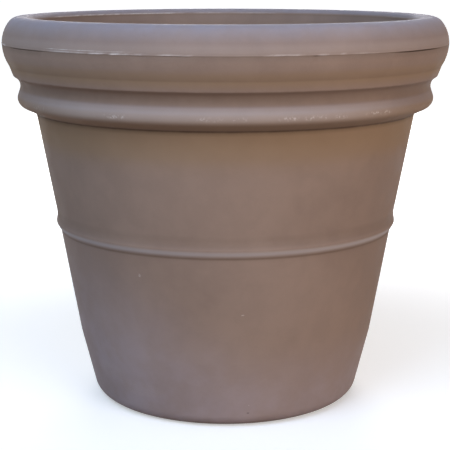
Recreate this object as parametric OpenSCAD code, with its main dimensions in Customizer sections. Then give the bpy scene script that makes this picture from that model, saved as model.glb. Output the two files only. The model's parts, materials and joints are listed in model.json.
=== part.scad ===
// Round double-wall planter with two rolled rims, a centre drain and its screw plug.
// Millimetres, +Z up, origin on the ground at the middle of the base.

/* [Overall] */
// Diameter over the upper roll, at its moulding seam
rim_d = 500; // [494:1:530]
// Height from the ground to the crest of the rim
pot_h = 434; // [410:1:480]

/* [Outer wall] */
// Diameter of the straight lower wall, carried down to the ground
ground_d = 311; // [306:0.5:322]
// Diameter of the wall behind the bead
waist_d = 382.5; // [372:0.5:392]
// Diameter of the wall in the crease under the lower roll
neck_d = 428.5; // [414:0.5:440]
// Height at which the foot starts to draw in
foot_h = 44.5; // [40:0.5:60]
// How far the foot draws in for each unit of height
foot_slope = 0.32; // [0.26:0.01:0.36]
// Radius of the curve between the straight wall and the foot
foot_r = 475; // [300:5:500]
// Radius of the corner between the foot and the standing ring
foot_corner_r = 20; // [12:0.5:24]

/* [Bead] */
// Height of the crease under the bead
bead_h = 195.4; // [150:0.1:240]
// Height of the bead from its crease to where it runs out into the wall
bead_w = 16.6; // [14:0.1:20]
// How far the bead's corner stands out from the waist
bead_out = 3.5; // [3:0.1:5]
// Height of the bead's corner over its crease
bead_nose_h = 8.5; // [5:0.1:9.5]
// Radius of the bead's nose
bead_nose_r = 4.5; // [3:0.5:7]
// Radius of the hollow over the bead
bead_hollow_r = 30; // [16:1:34]

/* [Lower roll] */
// Depth of the crease under the lower roll, below the crest
neck_drop = 104.6; // [103:0.1:110]
// Diameter at the lower roll's corner, before it is rounded
low_roll_d = 473.2; // [466:0.1:480]
// Depth of the lower roll's corner below the crest
low_roll_drop = 94; // [92:0.1:96]
// Radius of the lower roll
low_roll_r = 10; // [7:0.5:12]
// Diameter at the corner of the throat between the rolls, before it is rounded
throat_d = 456; // [450:0.1:460]
// Depth of the throat's corner below the crest
throat_drop = 69.5; // [67:0.1:72]
// Radius of the throat
throat_r = 12; // [8:0.2:14]

/* [Upper roll] */
// Diameter at the small lip under the upper roll
lip_d = 476.6; // [472:0.1:480]
// Depth of the small lip below the crest
lip_drop = 64.1; // [61:0.1:65]
// Radius of the small lip
lip_r = 2.4; // [1:0.1:4]
// Depth of the seam, where the roll is widest, below the crest
seam_drop = 28.3; // [26:0.1:30]
// Radius of the roll below its seam
roll_low_r = 46.4; // [38:0.2:54]
// Angle that the roll turns through below its seam
roll_low_a = 32.5; // [24:0.5:34]
// Radius of the roll above its seam
roll_top_r = 36.8; // [34:0.1:39]
// Angle that the roll turns through above its seam before it tightens
roll_top_a = 40; // [36:0.5:46]

/* [Inside] */
// Diameter of the inner wall, carried up to the crest
mouth_d = 436; // [420:1:440]
// Radius between the crest and the inner wall
mouth_r = 8; // [5:0.5:10]
// Diameter of the inner wall, carried down to the floor
floor_d = 278; // [262:1:282]
// Space from the outer wall to the inner one, both skins included, at the crease under the lower roll
neck_gap = 17.3; // [14:0.1:22]
// Height of the inner floor at the wall
floor_h = 42; // [40:0.5:60]
// Radius between the inner wall and the floor
floor_r = 24; // [12:1:36]
// Fall of the floor from the wall to the sump
floor_fall = 2.5; // [1:0.1:4]
// Thickness of the moulded skins
skin_t = 4; // [3:0.1:4.4]

/* [Base] */
// Diameter of the raised middle of the underside
recess_d = 232; // [200:1:236]
// Height of the raised middle over the ground
recess_h = 12; // [10:0.5:13]
// Radius of the corners round the raised middle
recess_r = 6; // [4.5:0.5:8]

/* [Drain] */
// Diameter of the sump's flat bottom
sump_d = 76; // [66:1:100]
// Height of the sump's flat bottom over the ground
sump_h = 32; // [30:0.5:34]
// Outer diameter of the drain bush
bush_d = 36; // [34:0.5:38]
// Diameter of the drain bush's flange
flange_d = 54; // [50:0.5:58]
// Thickness of the drain bush's flange
flange_t = 3; // [2:0.1:3.4]
// Diameter of the bush's bore, over its thread
bore_d = 28; // [24:0.5:29]
// Clearance round the bush in the shell, on the radius
bush_clear = 0.05; // [0.02:0.01:0.1]

/* [Plug] */
// Diameter of the plug's head
plug_head_d = 48; // [44:0.5:52]
// Thickness of the plug's head
plug_head_t = 5; // [4:0.1:6]
// Length of the plug's thread below the seal
thread_l = 16; // [12:0.5:18]
// Clearance between the plug's thread and the bore, on the radius
thread_clear = 0.1; // [0.05:0.01:0.1]
// Length of the grip bar across the head
grip_l = 38; // [30:0.5:42]
// Thickness of the grip bar
grip_t = 8; // [6:0.5:10]
// Height of the grip bar over the head
grip_h = 12; // [8:0.5:16]

/* [Seal] */
// Thickness of the seal ring
seal_t = 2; // [1.5:0.1:3]
// Width of the seal ring's band
seal_w = 7; // [5:0.1:8]
// Gap between the seal ring and the plug's thread
seal_gap = 0.6; // [0.4:0.1:1]

/* [Vent] */
// Distance of the vent hole from the middle of the base
vent_at = 72; // [50:1:90]
// Diameter of the vent hole in the outer skin
vent_d = 10; // [8:0.5:12]
// Diameter of the vent plug's head
vent_head_d = 17; // [15:0.5:20]
// Thickness of the vent plug's head
vent_head_t = 2; // [1.5:0.1:3]
// How far the vent plug's barb stands out past the hole
vent_barb = 0.8; // [0.5:0.1:1.2]
// Clearance round the vent plug's stem, on the radius
vent_clear = 0.05; // [0.02:0.01:0.1]

/* [Hidden] */
$fn = 96;
shell_colour = [0.52, 0.45, 0.41];
fitting_colour = [0.10, 0.10, 0.11];
seal_colour = [0.04, 0.04, 0.04];
arc_step = 18;
hollow_step = 24;
arc_chord = 26;
least_round = 0.4;
crease_r = 0.8;
recess_slope = 0.4;
ring_round = 3;
sump_slope = 6;
sump_round = 4;
edge_cut = 0.8;
overcut = 1;

rim_r = rim_d / 2;
seam_h = pot_h - seam_drop;
bore_r = bore_d / 2;
hole_r = bush_d / 2 + bush_clear;
flange_seat_h = sump_h - flange_t;
seal_h = sump_h + seal_t;
thread_r = bore_r - thread_clear;

// Radius of the straight wall below and above the bead, at a height over the ground
waist_h = bead_h + bead_nose_h;
function lower_wall(h) = (ground_d + (waist_d - ground_d) * h / waist_h) / 2;
neck_h = pot_h - neck_drop;
function upper_wall(h) = (waist_d + (neck_d - waist_d) * (h - waist_h) / (neck_h - waist_h)) / 2;

// Path corners are [radius, height, rounding], in order anticlockwise round the section
function corner(r, h, round = 0) = [r, h, round];
function spot(c) = [c[0], c[1]];
function unit(v) = v / norm(v);
function turn(u, v) = u[0] * v[1] - u[1] * v[0];
function wrapped(a) = a > 180 ? a - 360 : a < -180 ? a + 360 : a;

// A stretch of a circle, given as the corner between its two end tangents
function arc_corner(centre, r, from, to) =
    let (half = (to - from) / 2, mid = (to + from) / 2, out = r / cos(half))
    [centre[0] + out * cos(mid), centre[1] + out * sin(mid), r];

// Points along the rounding of corner p, between its neighbours a and b, no more than step degrees apart
function rounding(a, p, b, r, step) =
    let (u = unit(a - p), v = unit(b - p), half = acos(u * v) / 2, run = r / tan(half),
         centre = p + unit(u + v) * r / sin(half),
         from = atan2(p[1] + u[1] * run - centre[1], p[0] + u[0] * run - centre[0]),
         to = atan2(p[1] + v[1] * run - centre[1], p[0] + v[0] * run - centre[0]),
         sweep = wrapped(to - from),
         steps = ceil(max(abs(sweep) / step, abs(sweep) * PI / 180 * r / arc_chord)))
    [for (i = [0 : steps]) centre + r * [cos(from + sweep * i / steps), sin(from + sweep * i / steps)]];

// Points that lie apart: the second of two that meet where one arc runs into the next is left out
function apart(points) =
    let (n = len(points))
    [for (i = [0 : n - 1]) if (norm(points[i] - points[(i + n - 1) % n]) > 0.001) points[i]];

// Length that the rounding of corner p takes up on each of its sides
function run_of(a, p, b, r) = r > 0 ? r / tan(acos(unit(a - p) * unit(b - p)) / 2) : 0;

// The path's points, where two roundings that would meet on one side each keep their share of it
function outline(path, step) =
    let (n = len(path), at = [for (c = path) spot(c)],
         side = [for (i = [0 : n - 1]) norm(at[(i + 1) % n] - at[i])],
         run = [for (i = [0 : n - 1]) run_of(at[(i + n - 1) % n], at[i], at[(i + 1) % n], path[i][2])])
    apart([for (i = [0 : n - 1])
        let (before = (i + n - 1) % n, after = (i + 1) % n, r = path[i][2],
             share = [side[before] / (run[before] + run[i]), side[i] / (run[i] + run[after])])
        each (r > 0 ? rounding(at[before], at[i], at[after], r * min(1, min(share)), step) : [at[i]])]);

// The same path moved inwards by t, with its roundings kept concentric
function inset(path, t) =
    let (n = len(path))
    [for (i = [0 : n - 1])
        let (p = spot(path[i]), u = unit(p - spot(path[(i + n - 1) % n])),
             v = unit(spot(path[(i + 1) % n]) - p),
             side = [-u[1] - v[1], u[0] + v[0]], move = side * t / (1 + u * v),
             r = turn(u, v) > 0 ? max(path[i][2] - t, least_round) : path[i][2] + t)
        [p[0] + move[0], p[1] + move[1], r]];

// Centres of the three arcs of the upper roll, from its seam up to the crest
roll_low_c = [rim_r - roll_low_r, seam_h];
roll_top_c = [rim_r - roll_top_r, seam_h];
roll_top_end = roll_top_c + roll_top_r * [cos(roll_top_a), sin(roll_top_a)];
crest_r = (pot_h - roll_top_end[1]) / (1 - sin(roll_top_a));
crest_c = roll_top_end - crest_r * [cos(roll_top_a), sin(roll_top_a)];
roll_low_end = roll_low_c + roll_low_r * [cos(roll_low_a), -sin(roll_low_a)];

foot_c = lower_wall(foot_h);

base_path = [
    corner(hole_r, recess_h),
    corner(recess_d / 2 - recess_h * recess_slope, recess_h, recess_r),
    corner(recess_d / 2, 0, ring_round)];
foot_path = [
    corner(foot_c - foot_slope * foot_h, 0, foot_corner_r),
    corner(foot_c, foot_h, foot_r)];
bead_path = [
    corner(lower_wall(bead_h), bead_h, crease_r),
    corner(waist_d / 2 + bead_out, waist_h, bead_nose_r),
    corner(upper_wall(bead_h + bead_w), bead_h + bead_w, bead_hollow_r)];
rolls_path = [
    corner(neck_d / 2, neck_h, crease_r),
    corner(low_roll_d / 2, pot_h - low_roll_drop, low_roll_r),
    corner(throat_d / 2, pot_h - throat_drop, throat_r),
    corner(lip_d / 2, pot_h - lip_drop, lip_r),
    corner(roll_low_end[0], roll_low_end[1]),
    arc_corner(roll_low_c, roll_low_r, -roll_low_a, 0),
    arc_corner(roll_top_c, roll_top_r, 0, roll_top_a),
    arc_corner(crest_c, crest_r, roll_top_a, 90)];
inside_path = [
    corner(mouth_d / 2, pot_h, mouth_r),
    corner(neck_d / 2 - neck_gap, neck_h),
    corner(floor_d / 2, floor_h, floor_r),
    corner(sump_d / 2 + sump_slope, floor_h - floor_fall, sump_round),
    corner(sump_d / 2, sump_h, sump_round),
    corner(flange_d / 2 + bush_clear, sump_h),
    corner(flange_d / 2 + bush_clear, flange_seat_h),
    corner(hole_r, flange_seat_h)];
shell_path = concat(base_path, foot_path, bead_path, rolls_path, inside_path);

module pot_shell() {
    color(shell_colour)
    difference() {
        rotate_extrude() polygon(outline(shell_path, arc_step));
        rotate_extrude() polygon(outline(inset(shell_path, skin_t), hollow_step));
        translate([vent_at, 0, recess_h - overcut]) cylinder(h = skin_t + 2 * overcut, d = vent_d);
    }
}

module drain_bush() {
    color(fitting_colour)
    rotate_extrude() polygon([
        [bore_r, recess_h], [bush_d / 2, recess_h], [bush_d / 2, flange_seat_h],
        [flange_d / 2, flange_seat_h], [flange_d / 2, sump_h], [bore_r, sump_h]]);
}

module plug_seal() {
    inner_r = thread_r + seal_gap;
    color(seal_colour)
    rotate_extrude() translate([inner_r, sump_h]) square([seal_w, seal_t]);
}

module drain_plug() {
    head_r = plug_head_d / 2;
    head_top = seal_h + plug_head_t;
    color(fitting_colour)
    union() {
        rotate_extrude() polygon([
            [0, sump_h - thread_l], [thread_r - edge_cut, sump_h - thread_l],
            [thread_r, sump_h - thread_l + edge_cut], [thread_r, seal_h],
            [head_r, seal_h], [head_r, head_top - edge_cut], [head_r - edge_cut, head_top], [0, head_top]]);
        translate([0, 0, head_top]) linear_extrude(grip_h) {
            square([grip_l - grip_t, grip_t], center = true);
            for (side = [-1, 1]) translate([side * (grip_l - grip_t) / 2, 0]) circle(d = grip_t);
        }
    }
}

module vent_plug() {
    stem_r = vent_d / 2 - vent_clear;
    barb_h = recess_h + skin_t + vent_clear;
    color(fitting_colour)
    translate([vent_at, 0, 0])
    rotate_extrude() polygon([
        [0, recess_h - vent_head_t], [vent_head_d / 2 - edge_cut, recess_h - vent_head_t],
        [vent_head_d / 2, recess_h - vent_head_t + edge_cut], [vent_head_d / 2, recess_h],
        [stem_r, recess_h], [stem_r, barb_h], [vent_d / 2 + vent_barb, barb_h],
        [stem_r - vent_barb, barb_h + 2 * vent_barb], [0, barb_h + 2 * vent_barb]]);
}

pot_shell();
drain_bush();
plug_seal();
drain_plug();
vent_plug();
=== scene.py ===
"""Round double-wall planter: a moulded shell with two rolled rims, a centre drain and its screw plug."""

import json
import logging
import math
from collections.abc import Callable, Iterable, Sequence
from dataclasses import dataclass, field
from enum import Enum
from functools import reduce
from itertools import accumulate
from typing import NamedTuple

import bmesh
import bpy
from bmesh.types import BMEdge, BMesh, BMLayerItem, BMVert
from bpy.types import Material, Node, NodeSocket, NodeTree, Object
from mathutils import Matrix, Vector, noise

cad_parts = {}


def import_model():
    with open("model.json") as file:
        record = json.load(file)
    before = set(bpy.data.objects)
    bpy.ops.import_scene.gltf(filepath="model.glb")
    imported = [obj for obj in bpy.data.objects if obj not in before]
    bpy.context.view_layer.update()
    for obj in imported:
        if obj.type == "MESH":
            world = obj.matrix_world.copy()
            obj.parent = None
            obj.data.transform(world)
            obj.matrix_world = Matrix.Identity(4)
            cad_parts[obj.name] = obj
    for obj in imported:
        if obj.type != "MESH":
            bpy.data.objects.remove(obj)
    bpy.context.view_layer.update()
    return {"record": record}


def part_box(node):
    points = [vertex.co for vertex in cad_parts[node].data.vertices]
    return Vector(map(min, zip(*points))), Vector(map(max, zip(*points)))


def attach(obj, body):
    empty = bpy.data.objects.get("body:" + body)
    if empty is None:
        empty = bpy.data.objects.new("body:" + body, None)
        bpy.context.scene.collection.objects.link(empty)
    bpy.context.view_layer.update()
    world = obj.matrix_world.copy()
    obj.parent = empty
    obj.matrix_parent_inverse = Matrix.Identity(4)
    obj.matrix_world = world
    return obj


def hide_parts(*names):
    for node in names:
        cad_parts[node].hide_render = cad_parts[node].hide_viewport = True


LOG = logging.getLogger("planter")
MM = 0.001
# Distances within which two points are merged, and within which a point lies on a cut
SAME = 0.001 * MM
NEAR = 0.005 * MM
# Angle over which an edge of a drain fitting stays sharp
FITTING_SHARP = 35.0

Colour = tuple[float, float, float, float]
Feed = NodeSocket | float | Sequence[float]
Place = Callable[[float], tuple[float, float]]

WHITE: Colour = (1.0, 1.0, 1.0, 1.0)


class Slot(Enum):
    """Material slots of the pieces' finishes."""

    SHELL = "shell"
    FITTING = "fitting"
    SEAL = "seal"


class Body(Enum):
    """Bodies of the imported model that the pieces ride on."""

    POT = "pot"
    CARRIER = "plug_carrier"
    PLUG = "plug"


class Mark(Enum):
    """Point attributes that tell a finish where it is on the piece."""

    RIDGE = "ridge"
    HOLLOW = "hollow"
    FACING = "facing"
    RUBBED = "rubbed"
    UNFADED = "unfaded"
    FLASH = "flash"
    SLIT = "slit"
    SCUFF = "scuff"


class Spot(Enum):
    """What a rub or knock left on the wall."""

    PALE = "pale"
    SCRATCH = "scratch"
    DARK = "dark"


def paint(red: float, green: float, blue: float) -> Colour:
    """Turn a display colour into the linear one that shaders take.

    Args:
        red: Red from 0 to 1, as a screen shows it.
        green: Green from 0 to 1.
        blue: Blue from 0 to 1.

    Returns:
        The linear colour with an alpha of 1.
    """

    def linear(c: float) -> float:
        """Undo the screen's curve for one channel."""
        return c / 12.92 if c <= 0.04045 else ((c + 0.055) / 1.055) ** 2.4

    return linear(red), linear(green), linear(blue), 1.0


def smooth(value: float, low: float, high: float) -> float:
    """Rise smoothly from 0 at low to 1 at high."""
    t = clamp((value - low) / (high - low))
    return t * t * (3 - 2 * t)


def clamp(value: float) -> float:
    """Keep a value between 0 and 1."""
    return min(max(value, 0.0), 1.0)


def marked_mesh() -> BMesh:
    """Start a mesh whose points carry all the marks.

    Returns:
        The empty mesh.
    """
    mesh = bmesh.new()
    for mark in Mark:
        mesh.verts.layers.float.new(mark.value)
    return mesh


def layers_of(mesh: BMesh, *marks: Mark) -> list[BMLayerItem]:
    """Find the layers that hold some of the marks."""
    return [mesh.verts.layers.float[mark.value] for mark in marks]


def azimuth_of(point: Vector) -> float:
    """Angle round the pot in degrees: 0 at the front, rising to the right."""
    return math.degrees(math.atan2(point.x, -point.y))


class Corner(NamedTuple):
    """A corner of a section: its radius from the axis, its height and its rounding."""

    r: float
    h: float
    round: float = 0.0

    @property
    def spot(self) -> Vector:
        """The corner's place in the section's plane."""
        return Vector((self.r, self.h))


def arc_corner(centre: Vector, radius: float, start: float, end: float) -> Corner:
    """Give a stretch of a circle as the corner between its two end tangents.

    Args:
        centre: Centre of the circle in the section's plane.
        radius: Radius of the circle.
        start: Angle in degrees at which the stretch starts.
        end: Angle in degrees at which it ends.

    Returns:
        The corner, which carries the circle's radius as its rounding.
    """
    middle, half = math.radians((start + end) / 2), math.radians((end - start) / 2)
    out = radius / math.cos(half)
    return Corner(centre.x + out * math.cos(middle), centre.y + out * math.sin(middle), radius)


def inset(path: Sequence[Corner], thickness: float) -> list[Corner]:
    """Move a closed path inwards by a skin's thickness, with its roundings kept concentric.

    Args:
        path: Corners in order anticlockwise round the section.
        thickness: How far the path moves.

    Returns:
        The corners of the inner path.
    """
    least_round = 0.4 * MM
    moved = []
    for i, corner in enumerate(path):
        before, after = path[i - 1], path[(i + 1) % len(path)]
        u = (corner.spot - before.spot).normalized()
        v = (after.spot - corner.spot).normalized()
        shift = Vector((-u.y - v.y, u.x + v.x)) * thickness / (1 + u.dot(v))
        if u.x * v.y - u.y * v.x > 0:
            rounding = max(corner.round - thickness, least_round)
        else:
            rounding = corner.round + thickness
        moved.append(Corner(corner.r + shift.x, corner.h + shift.y, rounding))
    return moved


class Section:
    """A section drawn in the XZ plane by one travelling point: X is the radius and Z the height."""

    ARC_STEP = 8.0
    LINE_STEP = 12 * MM
    LEAST_STEP = 0.7 * MM
    LEAST_WAY = 0.01 * MM
    END_PARTS = 3
    WEDGE = 16
    DEEP_GAIN = 2.3
    TINY = 1e-12

    def __init__(self, mesh: BMesh, arc_step: float = ARC_STEP, line_step: float = LINE_STEP,
                 end_steps: Sequence[float] = ()) -> None:
        """Start an empty section.

        Args:
            mesh: Mesh that the section is drawn in.
            arc_step: Longest step round an arc, in degrees.
            line_step: Longest step along a straight stretch.
            end_steps: Distances from both ends of a straight stretch at which it has a point too.
        """
        self.mesh = mesh
        self.arc_step = arc_step
        self.line_step = line_step
        self.end_steps = end_steps
        self.chain: list[BMVert] = []
        self.edges: list[BMEdge] = []

    def _grow(self) -> BMVert:
        """Extrude the travelling point.

        Returns:
            The new point, which still lies on the old one.
        """
        made = bmesh.ops.extrude_vert_indiv(self.mesh, verts=[self.chain[-1]])
        self.chain.extend(made["verts"])
        self.edges.extend(made["edges"])
        return self.chain[-1]

    def line_to(self, spot: Vector) -> None:
        """Travel straight to a spot, in steps that are short near both ends and even between.

        Args:
            spot: End of the stretch in the section's plane.
        """
        start = self.chain[-1].co.copy()
        way = Vector((spot.x, 0, spot.y)) - start
        if way.length < self.LEAST_WAY:
            return
        near = [step for step in self.end_steps if step < way.length / self.END_PARTS]
        low, high = (near[-1], way.length - near[-1]) if near else (0.0, way.length)
        count = max(1, math.ceil((high - low) / self.line_step))
        stops = near + [low + (high - low) * i / count for i in range(1, count)]
        stops += [way.length - step for step in reversed(near)] + [way.length]
        for stop in stops:
            self._grow().co = start + way.normalized() * stop

    def arc(self, centre: Vector, sweep: float) -> None:
        """Travel round a centre.

        Args:
            centre: Centre in the section's plane.
            sweep: Angle in radians, positive anticlockwise.
        """
        middle = Vector((centre.x, 0, centre.y))
        length = abs(sweep) * (self.chain[-1].co - middle).length
        by_angle = math.ceil(abs(math.degrees(sweep)) / self.arc_step)
        steps = max(1, min(by_angle, round(length / self.LEAST_STEP)))
        turn = Matrix.Rotation(-sweep / steps, 3, "Y")
        for _ in range(steps):
            bmesh.ops.rotate(self.mesh, verts=[self._grow()], cent=middle, matrix=turn)

    def follow(self, path: Sequence[Corner], closed: bool = False) -> None:
        """Draw a path of rounded corners, where two roundings that would meet each keep their share.

        Args:
            path: Corners in order. The ends of an open path aren't rounded.
            closed: Whether the last corner joins the first.
        """
        count = len(path)
        run, side = [0.0] * count, [0.0] * count
        for i, corner in enumerate(path):
            before, after = path[i - 1].spot, path[(i + 1) % count].spot
            side[i] = (after - corner.spot).length
            inner = closed or 0 < i < count - 1
            if corner.round > 0 and inner:
                half = (before - corner.spot).angle(after - corner.spot) / 2
                run[i] = corner.round / math.tan(half)
        for i, corner in enumerate(path):
            if run[i] == 0:
                self.reach(corner.spot)
                continue
            before, after = path[i - 1].spot, path[(i + 1) % count].spot
            share = min(1.0, side[i - 1] / (run[i - 1] + run[i]),
                        side[i] / (run[i] + run[(i + 1) % count]))
            u, v = (before - corner.spot).normalized(), (after - corner.spot).normalized()
            half = u.angle(v) / 2
            radius = corner.round * share
            self.reach(corner.spot + u * radius / math.tan(half))
            centre = corner.spot + (u + v).normalized() * radius / math.sin(half)
            turned = math.copysign(math.pi - 2 * half, v.x * u.y - v.y * u.x)
            self.arc(centre, turned)
        if closed:
            self.edges.append(self.mesh.edges.new((self.chain[-1], self.chain[0])))

    def reach(self, spot: Vector) -> None:
        """Travel to a spot, or start there.

        Args:
            spot: The spot in the section's plane.
        """
        if self.chain:
            self.line_to(spot)
        else:
            self.chain.append(self.mesh.verts.new((spot.x, 0, spot.y)))

    def mark_curves(self, full_radius: float = 0.6 * MM, spread: float = 0.4 * MM,
                    deep_spread: float = 0.0) -> None:
        """Write the ridge, hollow and facing marks: how sharply the section turns and how far it looks up.

        Args:
            full_radius: Radius of an edge that counts in full.
            spread: Distance over which a mark fades out.
            deep_spread: Distance over which the dirt and painted shade of a deep crease fade out, or 0 where
                there is none.
        """
        ridge, hollow, facing = layers_of(self.mesh, Mark.RIDGE, Mark.HOLLOW, Mark.FACING)
        steps = [b.co - a.co for a, b in zip(self.chain, self.chain[1:])]
        travelled = list(accumulate((step.length for step in steps), initial=0.0))
        middles = [(a + b) / 2 for a, b in zip(travelled, travelled[1:])]
        bends = [math.atan2(u.x * v.z - u.z * v.x, u.dot(v)) for u, v in zip(steps, steps[1:])]

        def shares(places: Sequence[float], here: float, reach: float) -> list[float]:
            """How much each of several places counts at one of them."""
            return [math.exp(-((at - here) / reach) ** 2) for at in places]

        def bend_at(here: float, reach: float) -> float:
            """How sharply the section turns at a place, against an edge that counts in full."""
            turned = sum(s * b for s, b in zip(shares(travelled[1:], here, reach), bends))
            return turned * full_radius / (reach * math.sqrt(math.pi))

        for vert, here in zip(self.chain, travelled):
            bend = bend_at(here, spread)
            # A deep crease gets a wider mark, for its dirt and painted shade
            deep = clamp(-self.DEEP_GAIN * bend_at(here, deep_spread)) ** 2 if deep_spread else 0.0
            vert[ridge] = clamp(bend)
            vert[hollow] = max(clamp(-bend), deep)
            near = shares(middles, here, spread)
            length = sum(share * step.length for share, step in zip(near, steps))
            inward = -sum(share * step.x for share, step in zip(near, steps))
            vert[facing] = inward / max(length, self.TINY)

    def spin(self, steps: int, about: tuple[float, float] = (0.0, 0.0)) -> None:
        """Turn the section once round an upright axis: a wedge is spun, and doubled until it closes.

        Args:
            steps: Number of steps in the full turn.
            about: Where the axis stands.
        """
        wedge = steps
        while wedge % 2 == 0 and wedge > self.WEDGE:
            wedge //= 2
        middle = Vector((*about, 0))
        for vert in self.chain:
            vert.co += middle
        old = set(self.mesh.verts) - set(self.chain)
        angle = 2 * math.pi * wedge / steps
        bmesh.ops.spin(self.mesh, geom=self.chain + self.edges, cent=middle, axis=(0, 0, 1), angle=angle,
                       steps=wedge)
        while wedge < steps:
            new = [v for v in self.mesh.verts if v not in old]
            faces = list({f for v in new for f in v.link_faces})
            twin = bmesh.ops.duplicate(self.mesh, geom=new + faces)["geom"]
            turned = [g for g in twin if isinstance(g, BMVert)]
            bmesh.ops.rotate(self.mesh, verts=turned, cent=middle, matrix=Matrix.Rotation(angle, 3, "Z"))
            wedge, angle = wedge * 2, angle * 2
        new = [v for v in self.mesh.verts if v not in old]
        bmesh.ops.remove_doubles(self.mesh, verts=new, dist=SAME)


def edges_at(mesh: BMesh, height: float) -> list[BMEdge]:
    """List the open edges that lie at a height.

    Args:
        mesh: Mesh to look through.
        height: Height of the open rings.

    Returns:
        The edges with at most one face, both ends of which lie at that height.
    """
    open_edges = (e for e in mesh.edges if len(e.link_faces) < 2)
    return [e for e in open_edges if all(abs(v.co.z - height) < NEAR for v in e.verts)]


def close_flat(mesh: BMesh, height: float) -> None:
    """Fill the flat between all the open rings at a height."""
    bmesh.ops.triangle_fill(mesh, edges=edges_at(mesh, height), use_beauty=True, use_dissolve=False)


def ring(mesh: BMesh, steps: int, height: float, place: Place) -> list[BMEdge]:
    """Make a ring of edges whose points are placed by their angle.

    Args:
        mesh: Mesh that the ring is made in.
        steps: Number of points.
        height: Height of the ring.
        place: Gives a point's X and Y from its angle in radians.

    Returns:
        The edges of the ring.
    """
    made = bmesh.ops.create_circle(mesh, segments=steps, radius=1.0)["verts"]
    for vert in made:
        angle = math.atan2(vert.co.y, vert.co.x) + math.pi / steps
        vert.co = Vector((*place(angle), height))
    return list({e for v in made for e in v.link_edges})


def loft(mesh: BMesh, rings: Sequence[list[BMEdge]]) -> None:
    """Join each ring to the next with a band of faces."""
    for low, high in zip(rings, rings[1:]):
        bmesh.ops.bridge_loops(mesh, edges=low + high)


@dataclass(frozen=True)
class Thread:
    """A screw thread round the Z axis, right-handed.

    Attributes:
        pitch: Rise in one turn.
        outer: Radius of the thread at its widest.
        inner: Radius of the thread at its narrowest.
        wide: Share of the pitch that the wide part takes up.
        narrow: Share of the pitch that the narrow part takes up.
        phase: Height of the middle of a wide part at the X axis.
    """

    pitch: float
    outer: float
    inner: float
    wide: float
    narrow: float
    phase: float

    STEPS = 96

    def cut(self, mesh: BMesh, low: float, high: float) -> None:
        """Make the thread's surface between two heights, open at both.

        Args:
            mesh: Mesh that the surface is made in.
            low: Height of its lower end.
            high: Height of its upper end.
        """
        flank = (1 - self.wide - self.narrow) / 2
        first = math.floor((low - self.phase) / self.pitch) - 1
        last = math.ceil((high - self.phase) / self.pitch) + 1
        old = set(mesh.verts)
        section = Section(mesh, line_step=self.pitch)
        for turn in range(first, last + 1):
            middle = self.phase + turn * self.pitch
            half = self.wide / 2
            for r, at in ((self.inner, -half - flank), (self.outer, -half),
                          (self.outer, half), (self.inner, half + flank)):
                section.reach(Vector((r, middle + at * self.pitch)))
        rise = Vector((0, 0, self.pitch / self.STEPS))
        bmesh.ops.spin(mesh, geom=section.chain + section.edges, cent=(0, 0, 0), axis=(0, 0, 1),
                       dvec=rise, angle=2 * math.pi, steps=self.STEPS)
        new = [v for v in mesh.verts if v not in old]
        bmesh.ops.remove_doubles(mesh, verts=new, dist=NEAR)
        for height, normal in ((low, -1), (high, 1)):
            new = [v for v in mesh.verts if v not in old]
            near = {e for v in new for e in v.link_edges} | {f for v in new for f in v.link_faces}
            bmesh.ops.bisect_plane(mesh, geom=new + list(near), dist=SAME,
                                   plane_co=(0, 0, height), plane_no=(0, 0, normal), clear_outer=True)


@dataclass(frozen=True)
class Drain:
    """Sizes that the drain's pieces and its seat in the shell share."""

    pitch: float
    sump_h: float
    recess_h: float
    bush_d: float = 36 * MM
    bush_gap: float = 0.05 * MM
    flange_d: float = 54 * MM
    flange_t: float = 3 * MM
    bore_d: float = 28 * MM
    seal_t: float = 2 * MM
    head_t: float = 5 * MM
    grip_l: float = 38 * MM
    grip_t: float = 8 * MM
    thread_deep: float = 0.9 * MM
    thread_gap: float = 0.25 * MM
    thread_wide: float = 0.28

    @property
    def seat_h(self) -> float:
        """Height of the flange's seat."""
        return self.sump_h - self.flange_t

    @classmethod
    def of(cls, record: dict) -> "Drain":
        """Take the thread's pitch and the drain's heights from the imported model.

        Args:
            record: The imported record.

        Returns:
            The drain's sizes.
        """
        coupling = record["behaviour"]["couplings"][0]
        low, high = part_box("drain_bush")
        return cls(pitch=coupling["ratio"] * 2 * math.pi, sump_h=high.z, recess_h=low.z)

    def plug_thread(self) -> Thread:
        """The thread on the plug."""
        outer = self.bore_d / 2 - self.thread_gap
        return Thread(self.pitch, outer, outer - self.thread_deep, self.thread_wide, self.thread_wide,
                      self.sump_h)

    def nut_thread(self) -> Thread:
        """The thread in the bush, which clears the plug's all round.

        Returns:
            The thread, whose crests point inwards.
        """
        outer = self.bore_d / 2
        looser = self.thread_gap / 2 / self.pitch
        return Thread(self.pitch, outer, outer - self.thread_deep, self.thread_wide + looser,
                      self.thread_wide - looser, self.sump_h)


def mark_edges(mesh: BMesh, full_angle: float) -> None:
    """Write the ridge, hollow and facing marks of a finished mesh from its faces.

    Args:
        mesh: Mesh with its normals outwards.
        full_angle: Angle in radians at which an edge counts in full.
    """
    ridge, hollow, facing = layers_of(mesh, Mark.RIDGE, Mark.HOLLOW, Mark.FACING)
    for vert in mesh.verts:
        bends = [e.calc_face_angle_signed(0.0) for e in vert.link_edges if len(e.link_faces) == 2]
        vert[ridge] = clamp(max(bends, default=0.0) / full_angle)
        vert[hollow] = clamp(-min(bends, default=0.0) / full_angle)
        vert[facing] = vert.normal.z


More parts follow.
